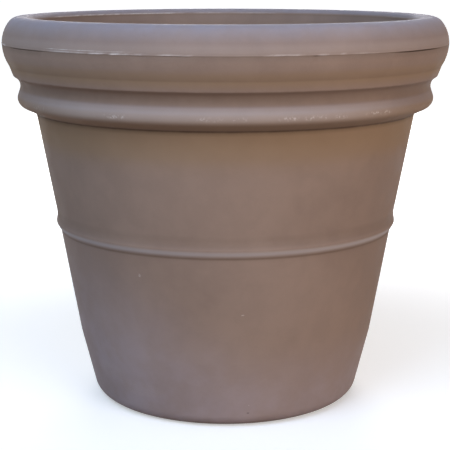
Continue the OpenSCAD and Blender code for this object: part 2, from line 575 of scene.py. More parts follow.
@dataclass
class Piece:
    """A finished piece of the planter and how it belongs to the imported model.

    Attributes:
        name: Name of the piece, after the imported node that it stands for.
        body: Body that it rides on.
        slot: Material slot of its finish. It is not used.
        finish: Its material.
        sharp: Angle in degrees over which an edge stays sharp.
    """

    name: str
    body: Body
    slot: Slot
    finish: Material
    sharp: float = 40.0

    def make(self, mesh: BMesh) -> Object:
        """Turn a modelled mesh into the piece.

        Args:
            mesh: The closed mesh, in place. It is freed.

        Returns:
            The object, riding on its body.
        """
        bmesh.ops.recalc_face_normals(mesh, faces=list(mesh.faces))
        for face in mesh.faces:
            face.smooth = True
        open_edges = sum(1 for e in mesh.edges if len(e.link_faces) != 2)
        data = bpy.data.meshes.new(self.name)
        mesh.to_mesh(data)
        mesh.free()
        data.set_sharp_from_angle(angle=math.radians(self.sharp))
        data.materials.append(self.finish)
        piece = bpy.data.objects.new(f"{self.name}_dressed", data)
        bpy.context.scene.collection.objects.link(piece)
        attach(piece, self.body.value)
        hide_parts(self.name)
        LOG.info("%s: %d faces, %d open edges, rides on %s", piece.name, len(data.polygons),
                 open_edges, self.body.value)
        return piece


class Patches(NamedTuple):
    """A cloud of patches: its waves per metre, and the noise at which a patch starts and is full."""

    scale: float
    low: float
    high: float


class Breakup(NamedTuple):
    """How noise breaks an effect up.

    Attributes:
        scale: Waves per metre.
        detail: How many finer waves are added.
        rough: How strong the finer waves are.
        low: Noise at which the effect is least.
        high: Noise at which it is most.
        least: What is left of the effect where it is least.
        most: What it comes to where it is most.
    """

    scale: float
    detail: float
    rough: float
    low: float
    high: float
    least: float = 0.0
    most: float = 1.0


class Graph:
    """A node tree that is being wired, where values are passed on as sockets or constants."""

    def __init__(self, tree: NodeTree) -> None:
        """Wire into a tree."""
        self.tree = tree

    def add(self, kind: str, feeds: dict[str | int, Feed] | None = None, **settings: object) -> Node:
        """Add a node.

        Args:
            kind: Type name of the node.
            feeds: What goes into its inputs, by name or number.
            **settings: Values of the node's own properties.

        Returns:
            The node.
        """
        node = self.tree.nodes.new(kind)
        for name, value in settings.items():
            setattr(node, name, value)
        for name, value in (feeds or {}).items():
            self.feed(node, name, value)
        return node

    def feed(self, node: Node, name: str | int, value: Feed) -> None:
        """Link a socket into an input, or set the input to a constant.

        Args:
            node: Node that is fed.
            name: Name or number of its input.
            value: The socket or the constant.
        """
        if isinstance(value, NodeSocket):
            self.tree.links.new(value, node.inputs[name])
        else:
            node.inputs[name].default_value = value

    def math(self, operation: str, a: Feed, b: Feed = 0.0, clamp: bool = False) -> NodeSocket:
        """Work out one operation on two values."""
        return self.add("ShaderNodeMath", {0: a, 1: b}, operation=operation, use_clamp=clamp).outputs[0]

    def times(self, *values: Feed) -> NodeSocket:
        """Multiply several values."""
        return reduce(lambda a, b: self.math("MULTIPLY", a, b), values)

    def band(self, value: Feed, low: Feed, high: Feed, to: tuple[float, float] = (0.0, 1.0)) -> NodeSocket:
        """Carry a value smoothly from one range to another."""
        feeds = {"Value": value, "From Min": low, "From Max": high, "To Min": to[0], "To Max": to[1]}
        return self.add("ShaderNodeMapRange", feeds, interpolation_type="SMOOTHSTEP").outputs["Result"]

    def mix(self, factor: Feed, a: Feed, b: Feed) -> NodeSocket:
        """Mix two colours."""
        return self.add("ShaderNodeMix", {0: factor, 6: a, 7: b}, data_type="RGBA").outputs[2]

    def noise(self, point: Feed, scale: Feed, detail: float, rough: float) -> NodeSocket:
        """Noise from about 0.3 to 0.7 at a scale given in waves per metre."""
        feeds = {"Vector": point, "Scale": scale, "Detail": detail, "Roughness": rough}
        return self.add("ShaderNodeTexNoise", feeds).outputs[0]

    def broken(self, point: Feed, how: Breakup, scale: Feed | None = None) -> NodeSocket:
        """Break an effect up by noise, at its own scale or at a given one."""
        waves = self.noise(point, how.scale if scale is None else scale, how.detail, how.rough)
        return self.band(waves, how.low, how.high, (how.least, how.most))

    def attribute(self, mark: Mark) -> NodeSocket:
        """Read one of the piece's marks."""
        return self.add("ShaderNodeAttribute", attribute_name=mark.value).outputs["Fac"]

    def point(self) -> NodeSocket:
        """The point of the surface, on the piece's own coordinates."""
        return self.add("ShaderNodeTexCoord").outputs["Object"]


class Effect(Graph):
    """A surface effect that finishes share: a node group, made once, that takes the point of the surface."""

    NAME = "effect"
    INPUTS: tuple[str, ...] = ()
    OUTPUTS: tuple[str, ...] = ("Mask",)

    def __init__(self) -> None:
        """Make the group and its sockets, and wire it."""
        super().__init__(bpy.data.node_groups.new(self.NAME, "ShaderNodeTree"))
        sockets = [("Point", "INPUT", "NodeSocketVector")]
        sockets += [(label, "INPUT", "NodeSocketFloat") for label in self.INPUTS]
        sockets += [(label, "OUTPUT", "NodeSocketFloat") for label in self.OUTPUTS]
        for label, way, kind in sockets:
            self.tree.interface.new_socket(name=label, in_out=way, socket_type=kind)
        self.given = self.add("NodeGroupInput").outputs
        self.result = self.add("NodeGroupOutput")
        self.wire()

    def wire(self) -> None:
        """Wire the group from what it is given to its result."""
        raise NotImplementedError

    def give(self, name: str, value: NodeSocket) -> None:
        """Give one of the results."""
        self.feed(self.result, name, value)


class RingPlace(Effect):
    """Where a point is round the pot: azimuth in degrees from the front, height and radius."""

    NAME = "ring_place"
    OUTPUTS = ("Azimuth", "Height", "Radius")

    def wire(self) -> None:
        """Work the three out from the point's coordinates."""
        x, y, z = self.add("ShaderNodeSeparateXYZ", {0: self.given["Point"]}).outputs
        self.give("Azimuth", self.math("DEGREES", self.math("ARCTAN2", x, self.times(y, -1.0))))
        self.give("Height", z)
        self.give("Radius", self.math("SQRT", self.math("ADD", self.times(x, x), self.times(y, y))))


class MouldedGrain(Effect):
    """The faint pebble that the mould leaves, and the flecks of pigment in it."""

    NAME = "moulded_grain"
    INPUTS = ("Scale",)
    OUTPUTS = ("Relief", "Fleck")
    FINER = 2.7
    PEBBLE, FINE = 0.6, 0.5
    FLECK = (0.35, 0.65)

    def wire(self) -> None:
        """Lay fine noise over rounded cells."""
        point, scale = self.given["Point"], self.given["Scale"]
        pebble = self.add("ShaderNodeTexVoronoi", {"Vector": point, "Scale": scale}, feature="SMOOTH_F1")
        fine = self.noise(point, self.times(scale, self.FINER), detail=3.0, rough=0.6)
        cells = self.times(pebble.outputs["Distance"], self.PEBBLE)
        self.give("Relief", self.math("ADD", cells, self.times(fine, self.FINE)))
        self.give("Fleck", self.band(fine, *self.FLECK))


class ResinCloud(Effect):
    """Broad soft patches, as unevenly melted resin leaves them."""

    NAME = "resin_cloud"
    INPUTS = Patches._fields

    def wire(self) -> None:
        """Keep the noise between the patches' start and their full strength."""
        waves = self.noise(self.given["Point"], self.given["scale"], detail=4.0, rough=0.55)
        self.give("Mask", self.band(waves, self.given["low"], self.given["high"]))


class EdgeWear(Effect):
    """Rubbed patches along the edges that stand out."""

    NAME = "edge_wear"
    INPUTS = ("Ridge", "Scale", "Amount")
    BREAKUP = Breakup(0.0, 5.0, 0.65, 0.42, 0.62)

    def wire(self) -> None:
        """Break the ridges up."""
        broken = self.broken(self.given["Point"], self.BREAKUP, self.given["Scale"])
        self.give("Mask", self.times(self.given["Ridge"], broken, self.given["Amount"]))


class DustAndPaintedLight(Effect):
    """Fine dirt that stays in the creases, and dust on what faces up; on the resin these also paint shade in
    the creases and sky light on top.
    """

    NAME = "settled_dust"
    INPUTS = ("Hollow", "Facing", "Amount")
    OUTPUTS = ("Mask", "Film")
    BREAKUP = Breakup(60.0, 3.0, 0.6, 0.3, 0.7, 0.80)
    FACING = (0.05, 0.95)

    def wire(self) -> None:
        """Thin both out by the same noise."""
        loose = self.broken(self.given["Point"], self.BREAKUP)
        self.give("Mask", self.times(self.given["Hollow"], loose, self.given["Amount"]))
        self.give("Film", self.times(self.band(self.given["Facing"], *self.FACING), loose))


class WallRub(Effect):
    """One small rub or knock on the wall, broken up by noise."""

    NAME = "wall_rub"
    ROUND = ("Azimuth", "At azimuth", "Half width")
    UP = ("Height", "At height", "Half height")
    INPUTS = (*ROUND, *UP, "Breakup")
    BREAKUP = Breakup(0.0, 4.0, 0.7, 0.45, 0.58)
    EDGE = (1.0, 0.25)

    def wire(self) -> None:
        """Draw an oval round the rub's place and break it up."""
        given, away = self.given, []
        for here, at, half in (self.ROUND, self.UP):
            off = self.math("DIVIDE", self.math("SUBTRACT", given[here], given[at]), given[half])
            away.append(self.times(off, off))
        near = self.band(self.math("ADD", *away), *self.EDGE)
        self.give("Mask", self.times(near, self.broken(given["Point"], self.BREAKUP, given["Breakup"])))


@dataclass(frozen=True)
class Effects:
    """The surface effects, each made once."""

    place: Effect = field(default_factory=RingPlace)
    grain: Effect = field(default_factory=MouldedGrain)
    cloud: Effect = field(default_factory=ResinCloud)
    wear: Effect = field(default_factory=EdgeWear)
    dust: Effect = field(default_factory=DustAndPaintedLight)
    rub: Effect = field(default_factory=WallRub)


class Rub(NamedTuple):
    """A small rub or knock on the wall.

    Attributes:
        spot: What it left.
        azimuth: Where it is round the pot, in degrees.
        height: How high it is, in millimetres.
        half_width: Half its width, in degrees.
        half_height: Half its height, in millimetres.
    """

    spot: Spot
    azimuth: float
    height: float
    half_width: float
    half_height: float


class Shade(NamedTuple):
    """The look of a kind of rub: its colour, its strength and the waves per metre that break it up."""

    tone: Colour
    strength: float
    scale: float


class Coat(Graph):
    """The graph of a material that is being made, with the shared effects at hand."""

    def __init__(self, name: str, effects: Effects) -> None:
        """Start from the plain shader.

        Args:
            name: Name of the material.
            effects: The shared surface effects.
        """
        self.material = bpy.data.materials.new(name)
        self.material.use_nodes = True
        super().__init__(self.material.node_tree)
        self.shader = self.tree.nodes["Principled BSDF"]
        self.effects = effects
        self.here = self.point()

    def lay(self, effect: Effect, **feeds: Feed) -> Node:
        """Place an effect with its own values, where a name's underscore stands for a space."""
        values = {name.replace("_", " "): value for name, value in feeds.items()}
        return self.add("ShaderNodeGroup", {"Point": self.here, **values}, node_tree=effect.tree)

    def cloud(self, patches: Patches) -> NodeSocket:
        """Lay a cloud of patches."""
        return self.lay(self.effects.cloud, **patches._asdict()).outputs["Mask"]

    def dust(self, amount: float) -> Node:
        """Lay the dirt in the creases and the dust on what faces up, by the piece's own marks; on the resin
        they also paint shade and sky light.
        """
        hollow, facing = self.attribute(Mark.HOLLOW), self.attribute(Mark.FACING)
        return self.lay(self.effects.dust, Hollow=hollow, Facing=facing, Amount=amount)

    def wear(self, scale: float, amount: float) -> NodeSocket:
        """Rub the piece's ridges."""
        ridge = self.attribute(Mark.RIDGE)
        return self.lay(self.effects.wear, Ridge=ridge, Scale=scale, Amount=amount).outputs["Mask"]

    def bump(self, height: NodeSocket, distance: float, strength: float, **under: Feed) -> NodeSocket:
        """Raise the surface by a height, over another relief where one is given as Normal."""
        feeds = {"Height": height, "Distance": distance, "Strength": strength, **under}
        return self.add("ShaderNodeBump", feeds).outputs[0]

    def finish(self, colour: NodeSocket, matte: NodeSocket, roughness: tuple[float, float],
               relief: NodeSocket) -> Material:
        """Wire the shader.

        Args:
            colour: Colour of the surface.
            matte: Mask that is 1 where the surface is roughest.
            roughness: Least and greatest roughness.
            relief: Normal of the surface.

        Returns:
            The finished material.
        """
        self.feed(self.shader, "Base Color", colour)
        self.feed(self.shader, "Roughness", self.band(matte, 0.0, 1.0, roughness))
        self.feed(self.shader, "Normal", relief)
        return self.material


@dataclass(frozen=True)
class MouldedResin:
    """Matte rotomoulded polyethylene of the shell, with its mould's marks, the scuffs of handling, and
    painted shade, sky light and highlights.
    """

    body: Colour = paint(0.545, 0.462, 0.412)
    deep: Colour = paint(0.500, 0.420, 0.374)
    fleck: Colour = paint(0.590, 0.515, 0.468)
    bare: Colour = paint(0.690, 0.620, 0.580)
    chalk: Colour = paint(0.735, 0.685, 0.655)
    flash: Colour = paint(0.800, 0.755, 0.735)
    # Dirt and painted shade in the creases
    grime: Colour = paint(0.300, 0.232, 0.190)
    # Dust and painted sky light on what faces up
    film: Colour = paint(0.620, 0.670, 0.780)
    # Pale rub and painted highlight on the crests
    rubbed: Colour = paint(0.730, 0.700, 0.700)
    # Painted shade on what faces down
    shaded: Colour = paint(0.430, 0.335, 0.275)
    # Painted shade under the rolls, yellower where the sky light doesn't reach
    unfaded: Colour = paint(0.535, 0.430, 0.310)
    # Painted light on the foot
    splash: Colour = paint(0.655, 0.605, 0.628)
    # Painted shade in the seam's groove and its slits
    gap: Colour = paint(0.200, 0.150, 0.125)
    stain: Colour = paint(0.240, 0.180, 0.150)
    roughness: tuple[float, float] = (0.60, 0.72)
    gloss: float = 0.05
    # How the resin varies, what weather and handling laid on it, and the painted shade and sky light
    wide: Patches = Patches(7.0, 0.38, 0.62)
    close: Patches = Patches(38.0, 0.35, 0.65)
    wide_share: float = 0.6
    close_share: float = 0.4
    fleck_share: float = 0.22
    dust_share: float = 0.95
    film_share: float = 0.33
    shaded_facing: tuple[float, float] = (-0.30, -0.88)
    shaded_share: tuple[float, float] = (0.0, 0.55)
    wear_scale: float = 90.0
    wear_share: float = 0.06
    scuffed: Breakup = Breakup(260.0, 5.0, 0.75, 0.50, 0.60)
    scuff_share: float = 0.8
    seamed: Breakup = Breakup(420.0, 4.0, 0.7, 0.36, 0.52, 0.55)
    # Painted light on the foot: lighter towards the ground, and reaching higher and stronger on the left of
    # the front
    splashed: Breakup = Breakup(24.0, 4.0, 0.6, 0.3, 0.7, 0.75, 1.25)
    splash_top: tuple[float, float] = (105 * MM, 240 * MM)
    splash_full: float = 15 * MM
    splash_sides: tuple[float, float] = (20.0, -60.0)
    splash_left: tuple[float, float] = (0.38, 0.52)
    foot_radii: tuple[float, float] = (140 * MM, 152 * MM)
    # The mould's pebble, and the slow waves of the wall
    grain_scale: float = 900.0
    grain_depth: float = 0.05 * MM
    grain_share: float = 0.5
    wave_scale: float = 16.0
    wave_depth: float = 1.2 * MM
    wave_share: float = 0.08
    # Small rubs and knocks on the front of the wall
    rubs: tuple[Rub, ...] = (
        Rub(Spot.SCRATCH, -28.9, 172.3, 0.6, 2.4), Rub(Spot.SCRATCH, 5.8, 133.4, 0.75, 0.9),
        Rub(Spot.SCRATCH, 9.2, 27.1, 0.3, 0.7), Rub(Spot.PALE, -36.0, 37.0, 14.0, 11.0),
        Rub(Spot.PALE, -52.0, 50.0, 11.0, 12.0), Rub(Spot.DARK, -1.8, 50.5, 0.35, 0.7),
        Rub(Spot.DARK, 9.0, 17.5, 0.7, 1.2))

    def build(self, effects: Effects) -> Material:
        """Make the material.

        Args:
            effects: The shared surface effects.

        Returns:
            The finished material.
        """
        coat = Coat("moulded_resin", effects)
        place = coat.lay(effects.place)
        grain = coat.lay(effects.grain, Scale=self.grain_scale)
        wide, close = coat.cloud(self.wide), coat.cloud(self.close)
        patches = coat.math("ADD", coat.times(wide, self.wide_share), coat.times(close, self.close_share))
        dust = coat.dust(self.dust_share)
        # Painted shade on what faces down
        under = coat.band(coat.attribute(Mark.FACING), *self.shaded_facing, self.shaded_share)
        colour = coat.mix(patches, self.deep, self.body)
        for mask, tone in (
                (coat.times(grain.outputs["Fleck"], self.fleck_share), self.fleck),
                # Painted shade under the rolls
                (coat.attribute(Mark.UNFADED), self.unfaded),
                # Painted shade on what faces down
                (under, self.shaded),
                # Dust and painted sky light on what faces up
                (coat.times(dust.outputs["Film"], self.film_share), self.film),
                # Pale rub and painted highlight on the crests
                (coat.attribute(Mark.RUBBED), self.rubbed),
                # Painted light on the foot
                (self._splashed(coat, place), self.splash),
                # Dirt and painted shade in the creases
                (dust.outputs["Mask"], self.grime),
                (coat.wear(self.wear_scale, self.wear_share), self.bare),
                (self._scuffed(coat), self.chalk),
                *self._rubbed(coat, place),
                (coat.times(coat.attribute(Mark.FLASH), coat.broken(coat.here, self.seamed)), self.flash),
                # Painted shade in the seam's groove and its slits
                (coat.math("MULTIPLY", coat.attribute(Mark.SLIT), 1.0, clamp=True), self.gap)):
            colour = coat.mix(mask, colour, tone)
        coat.feed(coat.shader, "Specular IOR Level", self.gloss)
        waves = coat.noise(coat.here, self.wave_scale, detail=2.0, rough=0.4)
        slow = coat.bump(waves, self.wave_depth, self.wave_share)
        relief = coat.bump(grain.outputs["Relief"], self.grain_depth, self.grain_share, Normal=slow)
        return coat.finish(colour, close, self.roughness, relief)

    def _splashed(self, coat: Coat, place: Node) -> NodeSocket:
        """Find where light is painted on the foot, strongest at the ground.

        Args:
            coat: The material's graph.
            place: Where the point is round the pot.

        Returns:
            The mask of the painted light.
        """
        azimuth = place.outputs["Azimuth"]
        top = coat.band(azimuth, *self.splash_sides, self.splash_top)
        low = coat.band(place.outputs["Height"], top, self.splash_full)
        outside = coat.band(place.outputs["Radius"], *self.foot_radii)
        side_share = coat.band(azimuth, *self.splash_sides, self.splash_left)
        return coat.times(low, outside, coat.broken(coat.here, self.splashed), side_share)

    def _scuffed(self, coat: Coat) -> NodeSocket:
        """Find the chalky scuffs where the pot has been stacked."""
        mask = coat.times(coat.attribute(Mark.SCUFF), coat.broken(coat.here, self.scuffed))
        return coat.math("MINIMUM", mask, self.scuff_share)

    def _rubbed(self, coat: Coat, place: Node) -> list[tuple[NodeSocket, Colour]]:
        """Find the small rubs and knocks on the wall.

        Args:
            coat: The material's graph.
            place: Where the point is round the pot.

        Returns:
            The mask and the colour of each.
        """
        shades = {Spot.PALE: Shade(self.bare, strength=0.22, scale=900.0),
                  Spot.SCRATCH: Shade(self.chalk, strength=0.8, scale=1300.0),
                  Spot.DARK: Shade(self.stain, strength=0.5, scale=60.0)}
        found = []
        for rub in self.rubs:
            shade = shades[rub.spot]
            oval = coat.lay(coat.effects.rub, Azimuth=place.outputs["Azimuth"], At_azimuth=rub.azimuth,
                            Half_width=rub.half_width, Height=place.outputs["Height"],
                            At_height=rub.height * MM, Half_height=rub.half_height * MM, Breakup=shade.scale)
            found.append((coat.times(oval.outputs["Mask"], shade.strength), shade.tone))
        return found


@dataclass(frozen=True)
class MouldedNylon:
    """Satin black nylon of the drain's fittings."""

    body: Colour = paint(0.105, 0.105, 0.112)
    faded: Colour = paint(0.150, 0.150, 0.155)
    rubbed: Colour = paint(0.250, 0.245, 0.240)
    dust: Colour = paint(0.300, 0.275, 0.250)
    roughness: tuple[float, float] = (0.34, 0.50)
    patches: Patches = Patches(70.0, 0.35, 0.65)
    faded_share: float = 0.6
    dust_share: float = 0.7
    film_share: float = 0.25
    wear_scale: float = 400.0
    wear_share: float = 0.55
    grain_scale: float = 2600.0
    grain_depth: float = 0.02 * MM
    grain_share: float = 0.5

    def build(self, effects: Effects) -> Material:
        """Make the material.

        Args:
            effects: The shared surface effects.

        Returns:
            The finished material.
        """
        coat = Coat("moulded_nylon", effects)
        patch, dust = coat.cloud(self.patches), coat.dust(self.dust_share)
        colour = coat.mix(coat.times(patch, self.faded_share), self.body, self.faded)
        colour = coat.mix(coat.wear(self.wear_scale, self.wear_share), colour, self.rubbed)
        colour = coat.mix(coat.times(dust.outputs["Film"], self.film_share), colour, self.dust)
        colour = coat.mix(dust.outputs["Mask"], colour, self.dust)
        grain = coat.lay(effects.grain, Scale=self.grain_scale)
        relief = coat.bump(grain.outputs["Relief"], self.grain_depth, self.grain_share)
        return coat.finish(colour, patch, self.roughness, relief)


@dataclass(frozen=True)
class SealRubber:
    """Matte black rubber of the seal, with a faint bloom."""

    body: Colour = paint(0.065, 0.065, 0.065)
    bloom: Colour = paint(0.135, 0.135, 0.140)
    roughness: tuple[float, float] = (0.70, 0.85)
    patches: Patches = Patches(180.0, 0.42, 0.68)
    grain_scale: float = 3200.0
    grain_depth: float = 0.02 * MM
    grain_share: float = 0.4

    def build(self, effects: Effects) -> Material:
        """Make the material.

        Args:
            effects: The shared surface effects.

        Returns:
            The finished material.
        """
        coat = Coat("seal_rubber", effects)
        bloom = coat.cloud(self.patches)
        grain = coat.lay(effects.grain, Scale=self.grain_scale)
        relief = coat.bump(grain.outputs["Relief"], self.grain_depth, self.grain_share)
        return coat.finish(coat.mix(bloom, self.body, self.bloom), bloom, self.roughness, relief)


@dataclass(frozen=True)
class Stretch:
    """A stretch round the pot, in degrees from the front, that fades in and out.

    Attributes:
        start: Where it starts.
        end: Where it ends.
        amount: How strong it is in between.
        fade: Angle over which it fades at each end.
    """

    start: float
    end: float
    amount: float = 1.0
    fade: float = 3.0

    def at(self, azimuth: float) -> float:
        """How strong the stretch is at an azimuth.

        Args:
            azimuth: Angle round the pot in degrees.

        Returns:
            The strength, 0 outside the stretch.
        """
        rising = smooth(azimuth, self.start, self.start + self.fade)
        falling = 1 - smooth(azimuth, self.end - self.fade, self.end)
        return self.amount * rising * falling


def strongest(stretches: Iterable[Stretch], azimuth: float) -> float:
    """How strong the strongest of several stretches is at an azimuth."""
    return max((s.at(azimuth) for s in stretches), default=0.0)


class Tear:
    """How a torn edge varies round the pot, alike on every run."""

    WAVES = ((0.45, 0.0, 1.0), (1.3, 5.0, 0.6))
    MIDDLE = 0.65
    GAIN = 0.8

    @classmethod
    def left(cls, azimuth: float, row: float) -> float:
        """How much of the edge is left at an azimuth, from 0 to 1.

        Args:
            azimuth: Angle round the pot in degrees.
            row: Height that tells one edge from another.

        Returns:
            The share that is left.
        """
        waves = sum(strength * noise.noise(Vector((azimuth * rate, row / MM, layer)))
                    for rate, layer, strength in cls.WAVES)
        return clamp(cls.MIDDLE + cls.GAIN * waves)


ALL_ROUND = (Stretch(-200, 200),)


class Band(NamedTuple):
    """A level band of the shell that carries a mark.

    Attributes:
        mark: The mark.
        height: Height of its middle.
        half: Half its height.
        amount: How strong the mark is.
        least_r: Radius up to which nothing is marked.
        stretches: Where it shows.
        power: How squarely it fades out up and down.
        reach: Number of half heights after which it ends.
    """

    mark: Mark
    height: float
    half: float
    amount: float
    least_r: float
    stretches: tuple[Stretch, ...] = ALL_ROUND
    power: int = 4
    reach: float = 2.0


@dataclass
class OuterWall:
    """Sizes of the tapered wall and its foot."""

    ground_d: float = 311 * MM
    waist_d: float = 382.5 * MM
    neck_d: float = 428.5 * MM
    foot_h: float = 44.5 * MM
    foot_slope: float = 0.32
    foot_r: float = 475 * MM
    foot_corner_r: float = 20 * MM
    crease_r: float = 0.8 * MM


@dataclass
class Bead:
    """Sizes of the raised bead round the wall."""

    at: float = 195.4 * MM
    width: float = 16.6 * MM
    out: float = 3.5 * MM
    nose_h: float = 8.5 * MM
    nose_r: float = 4.5 * MM
    hollow_r: float = 30 * MM
    # Band that is rubbed pale and carries a painted highlight, below the nose
    rub_drop: float = 3.2 * MM
    rub_half: float = 2.8 * MM
    rub_left: float = 0.50


@dataclass
class LowerRoll:
    """Sizes of the lower roll and of the throat over it, with depths below the crest."""

    neck_drop: float = 104.6 * MM
    roll_d: float = 473.2 * MM
    roll_drop: float = 94 * MM
    roll_r: float = 10 * MM
    throat_d: float = 456 * MM
    throat_drop: float = 69.5 * MM
    throat_r: float = 12 * MM
    # Band that is rubbed pale and carries a painted highlight, and where round the pot
    rub_drop: float = 87.5 * MM
    rub_half: float = 7.8 * MM
    rub_left: float = 0.27
    rubs: tuple[Stretch, ...] = (
        Stretch(-75, 62, 1.0, 40), Stretch(80, 170, 0.8, 25), Stretch(-160, -90, 0.7, 25))
    # Band of painted shade under the roll, below the neck
    shade_drop: float = 10 * MM
    shade_half: float = 26 * MM
    shade_left: float = 0.55
    # Scuffs of the next pot in a stack
    scuff_drop: float = 90.4 * MM
    scuff_half: float = 1.6 * MM
    scuffs: tuple[Stretch, ...] = (
        Stretch(-31, -24.5, 1.0, 1), Stretch(-7, -0.7, 0.7, 1), Stretch(1.2, 5.4, 0.6, 1),
        Stretch(13, 18, 1.0, 1), Stretch(19, 25.4, 1.0, 1), Stretch(27.5, 31.5, 1.0, 1),
        Stretch(36.5, 46.5, 0.9, 2), Stretch(-62, -52, 0.35, 3),
        Stretch(88, 104, 0.8, 4), Stretch(128, 160, 0.9, 5), Stretch(-150, -141, 0.7, 3),
        Stretch(-122, -96, 0.9, 5))


@dataclass
class UpperRoll:
    """Sizes of the upper roll, with depths below the crest, and of the seam round it."""

    lip_d: float = 476.6 * MM
    lip_drop: float = 64.1 * MM
    lip_r: float = 2.4 * MM
    seam_drop: float = 28.3 * MM
    low_r: float = 46.4 * MM
    low_angle: float = 32.5
    top_r: float = 36.8 * MM
    top_angle: float = 40.0
    # Flash of the seam, the groove under it and the second line over it
    flash_out: float = 0.40 * MM
    flash_least: float = 0.25
    flash_half: float = 0.34 * MM
    flash_foot: float = 0.7
    groove_drop: float = 0.9 * MM
    groove_deep: float = 0.12 * MM
    seam_reach: float = 1.5 * MM
    double_rise: float = 2.4 * MM
    double_half: float = 0.5 * MM
    double_out: float = 0.18 * MM
    # Band over the seam that is rubbed pale and carries a painted highlight, and band of painted shade in the
    # throat
    rub_rise: float = 4.5 * MM
    rub_half: float = 5.5 * MM
    rub_left: float = 0.15
    shade_drop: float = 53 * MM
    shade_half: float = 7.5 * MM
    shade_left: float = 0.45
    # Slits where the seam drew apart, the painted shade in its groove, and where flash, second line and slits
    # show
    gap_deep: float = 2.2 * MM
    gap_wide: float = 0.6 * MM
    gap_least: float = 0.15
    flash: tuple[Stretch, ...] = (
        Stretch(-98, -69, 1.0, 2), Stretch(-46, -31.5, 0.55, 4), Stretch(-32.5, -27.3, 1.0, 1),
        Stretch(-27.2, -22, 1.0, 1), Stretch(-22, -17.5, 0.5, 2), Stretch(-15.5, -7, 0.55, 2),
        Stretch(7.5, 18, 0.38, 2), Stretch(20.9, 23.2, 0.5, 0.6), Stretch(26, 27.6, 0.5, 0.5),
        Stretch(29, 38, 0.25, 3), Stretch(100, 122, 0.8, 4), Stretch(131, 139, 0.6, 3),
        Stretch(160, 171, 0.9, 4), Stretch(-150, -128, 0.9, 4), Stretch(-124, -116, 0.5, 3))
    doubles: tuple[Stretch, ...] = (
        Stretch(-47, -20, 1.0, 4), Stretch(112, 134, 0.6, 6), Stretch(-172, -150, 0.6, 6))
    gaps: tuple[Stretch, ...] = (
        Stretch(38, 67, 0.75, 12), Stretch(-67, -45, 0.42, 5), Stretch(19, 21.5, 0.45, 0.8),
        Stretch(-22, -17.5, 0.2, 1.5), Stretch(-15.5, -7, 0.15, 2),
        Stretch(140, 156, 0.5, 6), Stretch(-112, -100, 0.4, 5))


@dataclass
class Inside:
    """Sizes of the planting space, its floor and its sump."""

    mouth_d: float = 436 * MM
    mouth_r: float = 8 * MM
    floor_d: float = 278 * MM
    floor_h: float = 42 * MM
    floor_r: float = 24 * MM
    floor_fall: float = 2.5 * MM
    sump_d: float = 76 * MM
    sump_slope: float = 6 * MM
    sump_round: float = 4 * MM
    neck_gap: float = 17.3 * MM
    # Line along which the mouth was cut open, and where it was left rough
    trim_angle: float = 158.0
    trim_half: float = 8.0
    trim_out: float = 0.45 * MM
    trim: tuple[Stretch, ...] = (
        Stretch(-167, -108, 1.0, 6), Stretch(-181, -168, 0.45, 4), Stretch(160, 181, 0.40, 8),
        Stretch(96, 118, 0.25, 6), Stretch(-40, -12, 0.6, 6), Stretch(20, 52, 0.5, 8))


@dataclass
class Base:
    """Sizes of the raised middle of the underside and of the hole for the vent plug."""

    recess_d: float = 232 * MM
    recess_h: float = 12 * MM
    recess_r: float = 6 * MM
    recess_slope: float = 0.4
    ring_round: float = 3 * MM
    vent_at: float = 72 * MM
    vent_d: float = 10 * MM
    vent_steps: int = 32


